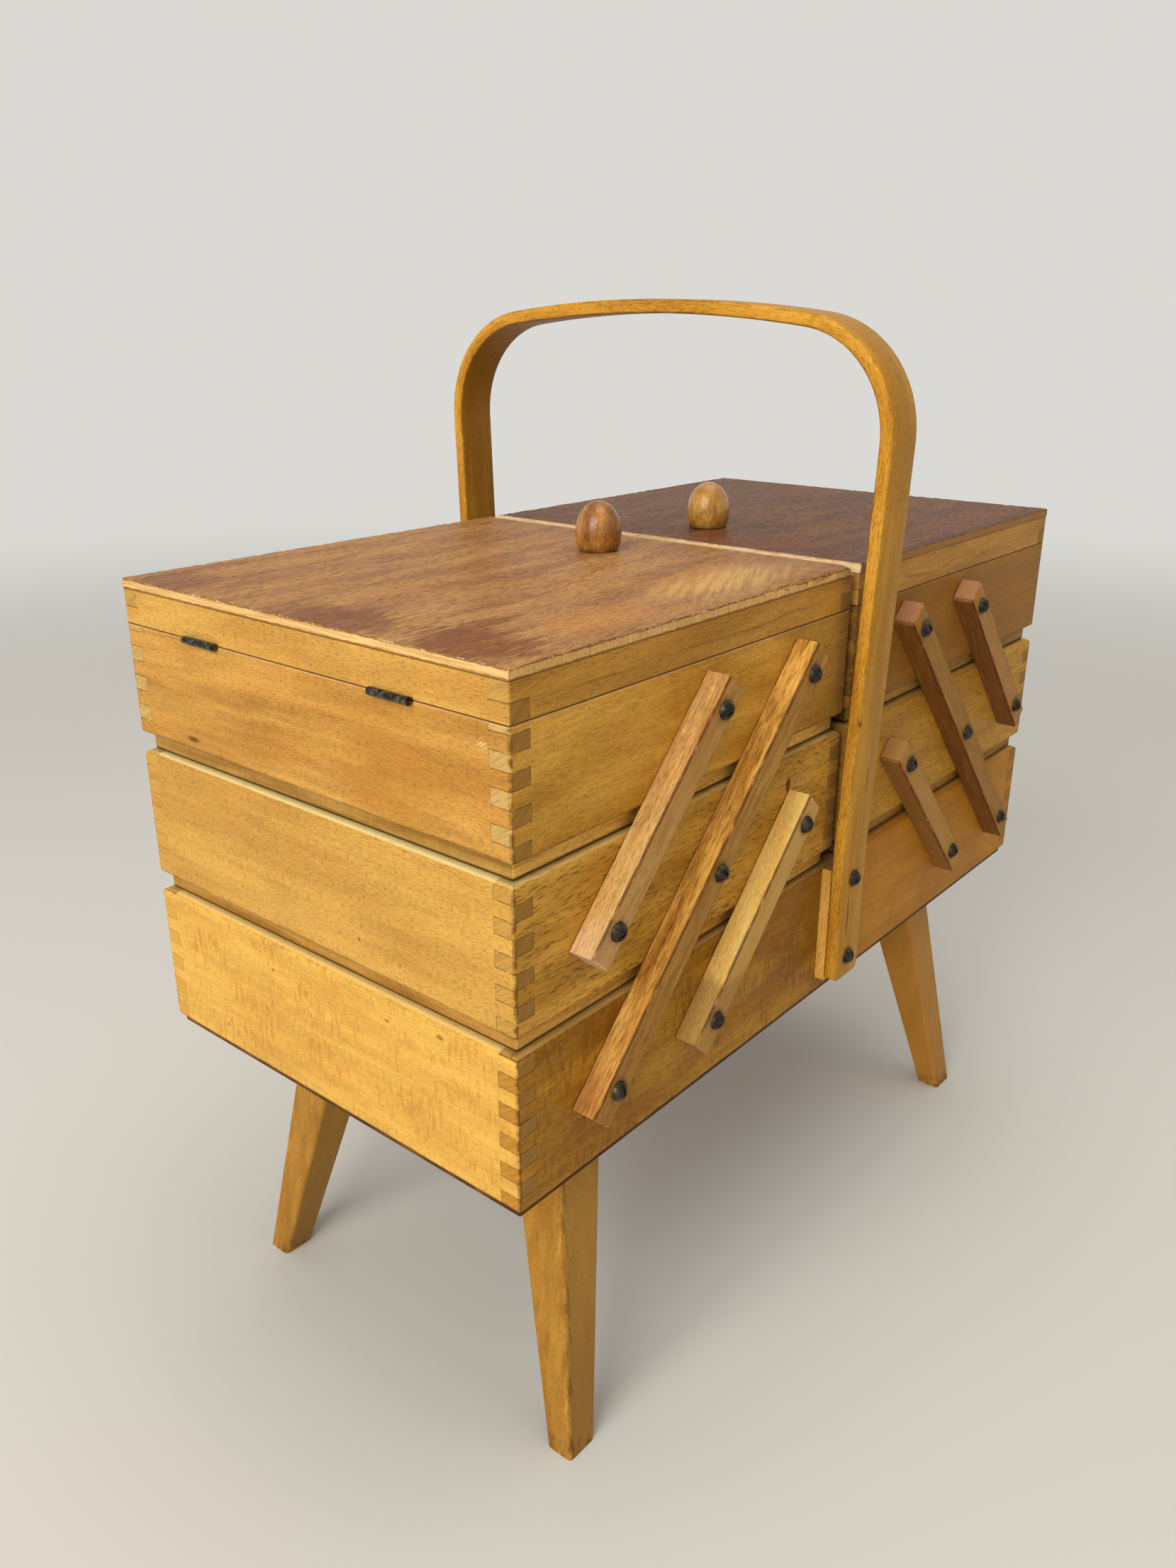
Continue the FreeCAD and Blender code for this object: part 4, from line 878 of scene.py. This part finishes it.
def panelFinish(side, shift):
    wood = Wood(f"{side}_panel_veneer", look(*panel["tones"][side], **panel["grain"]), alongX, shift)
    warp = wood.scale(wood.noise(wood.place, (26, 2.2, 2.2), 4, 0.7, shift + 30, out=1), 56)
    drift = wood.vector("ADD", wood.real, wood.vector("SUBTRACT", warp, (28, 28, 28)))
    ragged = wood.noise(wood.grain, (15, 0.9, 0.9), 4, 0.7, shift + 38)
    for centre, radii, colour, strength in panel[side]:
        patch = wood.spot((*centre, 359), (*radii, 90), 0.8, drift)
        wood.paint(wood.ease(patch + (ragged - 0.5) * 1.6, 0.3, 0.66) * strength, colour)
    pores = wood.noise(wood.grain, (5.5, 0.5, 0.5), 3, 0.6, shift + 40)
    wood.darken(wood.ease(pores, 0.57, 0.6), 0.46)
    wood.paint(wood.ease(pores, 0.43, 0.36) * 0.2, (214, 170, 118))
    if side == "left":
        slant = wood.noise(wood.turned(wood.place, (0, 0, math.radians(-28))), (60, 3.4, 3.4), 4, 0.7, shift + 31)
        zone = wood.spot((*panel["pale"], 359), (*panel["paleRadii"], 90), 0.8)
        wood.paint(zone * (0.3 + wood.ease(slant, 0.44, 0.6) * 0.5), (228, 182, 108))

    worn = wood.noise(wood.place, (9, 9, 9), 3, 0.6, shift + 33)
    inner = wood.ease(wood.size(wood.x), 5.4 - worn, 4.4 - worn)
    wood.paint(inner * 0.75, (232, 186, 128))
    edge = wood.ease(wood.facing((0, 0, 1)), 0.75, 0.4)
    onEnd = wood.ease(wood.facing((1, 0, 0)), 0.4, 0.8)
    runs = wood.noise(wood.place, (900, 30, 0.4), 3, 0.6, shift + 32)
    ribs = wood.noise(wood.place, (0.8, 900, 6), 2, 0.6, shift + 34)
    rib = onEnd * runs + (1 - onEnd) * ribs
    chipped = wood.noise(wood.place, (4, 4, 1.4), 3, 0.66, shift + 36)
    ply = wood.mix(wood.ease(rib, 0.38, 0.6) * (0.5 + onEnd * 0.5), tint(212, 160, 88), tint(246, 206, 138))
    ply = wood.mix(wood.ease(wood.z + chipped * 1.4, 356.7, 356.3) * 0.8, ply, tint(142, 88, 38))
    ply = wood.mix(wood.ease(wood.z + (chipped - 0.5) * 1.6, 358.3, 358.6) * 0.8, ply, tint(120, 72, 42))
    ply = wood.mix(wood.ease(chipped, 0.56, 0.62) * wood.ease(wood.z, 358.2, 358.6) * 0.8, ply, tint(240, 206, 164))
    if side == "right":
        ply = wood.mix(0.8 - onEnd * 0.8, ply, tint(150, 102, 54))
    ply = wood.mix(inner * 0.8, ply, tint(255, 226, 176))
    ply = wood.mix(wood.ease(wood.z, 355.2, 354.9) * 0.7, ply, tint(70, 40, 18))
    wood.colour = wood.mix(edge, wood.colour, ply)
    wood.height = wood.height + edge * rib
    wood.rough = wood.rough + edge * 0.2
    return wood.close(0.15)


for side, mirror, seed in (("left", 1, 4), ("right", -1, 9)):
    makeKnob(side, mirror, 230 + seed)
    makePanel(side, seed).data.materials.append(panelFinish(side, 250 + seed))
print("knobs and panels made")


# Floor, world and light

studio = {"floor": (222, 220, 214), "seen": (218, 217, 213), "sky": (240, 236, 228), "skyLevel": 0.47,
          "fadeFrom": 900, "fadeTo": 2600}


def makeFloor():
    clearSelection()
    bpy.ops.mesh.primitive_circle_add(vertices=96, radius=2.7, fill_type="NGON", location=(0, 0, 0))
    floor = bpy.context.object
    floor.name = "floor"
    finish = Finish("floor_finish")
    cloudy = finish.noise(finish.place, (420, 420, 420), 3, 0.5)
    finish.feed("Base Color", finish.shade(tint(*studio["floor"]), 0.98 + cloudy * 0.04))
    finish.feed("Roughness", 0.8)
    finish.feed("Specular IOR Level", 0.2)
    away = finish.math("SQRT", finish.x * finish.x + finish.y * finish.y)
    finish.feed("Alpha", finish.ease(away, studio["fadeTo"], studio["fadeFrom"]))
    floor.data.materials.append(finish.material)


def makeWorld():
    world = bpy.data.worlds.new("studio")
    bpy.context.scene.world = world
    world.use_nodes = True
    tree = world.node_tree
    sky = tree.nodes["Background"]
    sky.inputs["Color"].default_value = tint(*studio["sky"])
    sky.inputs["Strength"].default_value = studio["skyLevel"]
    seen = tree.nodes.new("ShaderNodeBackground")
    seen.inputs["Color"].default_value = tint(*studio["seen"])
    rays = tree.nodes.new("ShaderNodeLightPath")
    either = tree.nodes.new("ShaderNodeMath")
    either.operation = "MAXIMUM"
    tree.links.new(rays.outputs["Is Camera Ray"], either.inputs[0])
    tree.links.new(rays.outputs["Is Glossy Ray"], either.inputs[1])
    plain = tree.nodes.new("ShaderNodeMath")
    plain.operation = "MAXIMUM"
    tree.links.new(either.outputs[0], plain.inputs[0])
    tree.links.new(rays.outputs["Is Transmission Ray"], plain.inputs[1])
    blend = tree.nodes.new("ShaderNodeMixShader")
    tree.links.new(plain.outputs[0], blend.inputs[0])
    tree.links.new(sky.outputs[0], blend.inputs[1])
    tree.links.new(seen.outputs[0], blend.inputs[2])
    tree.links.new(blend.outputs[0], tree.nodes["World Output"].inputs["Surface"])


def softLamp(name, place, aim, size, watts, colour):
    lamp = bpy.data.lights.new(name, "AREA")
    lamp.shape = "SQUARE"
    lamp.size = size
    lamp.energy = watts
    lamp.color = colour
    holder = bpy.data.objects.new(name, lamp)
    bpy.context.scene.collection.objects.link(holder)
    holder.location = place
    holder.rotation_euler = (Vector(aim) - Vector(place)).to_track_quat("-Z", "Y").to_euler()


makeFloor()
makeWorld()
softLamp("window", (-2.1, -0.35, 1.35), (0, 0, 0.2), 1.5, 40, (1, 0.98, 0.94))
softLamp("ceiling", (0.2, -0.2, 2.4), (0, 0, 0.2), 1.8, 17, (1, 0.98, 0.95))

lens = {"place": (-0.4851, -0.3619, 0.4601), "forward": (0.7182, 0.5991, -0.3540), "roll": 0.08, "long": 28.40}
eye = bpy.data.cameras.new("camera")
eye.sensor_fit = "AUTO"
eye.sensor_width = 36
eye.lens = lens["long"]
eye.clip_start = 0.01
camera = bpy.data.objects.new("camera", eye)
bpy.context.scene.collection.objects.link(camera)
camera.location = lens["place"]
facing = Vector(lens["forward"]).to_track_quat("-Z", "Y").to_matrix().to_4x4()
camera.rotation_euler = (facing @ Matrix.Rotation(math.radians(lens["roll"]), 4, "Z")).to_euler()
bpy.context.scene.camera = camera
bpy.context.scene.view_settings.view_transform = "Standard"
print("studio ready")
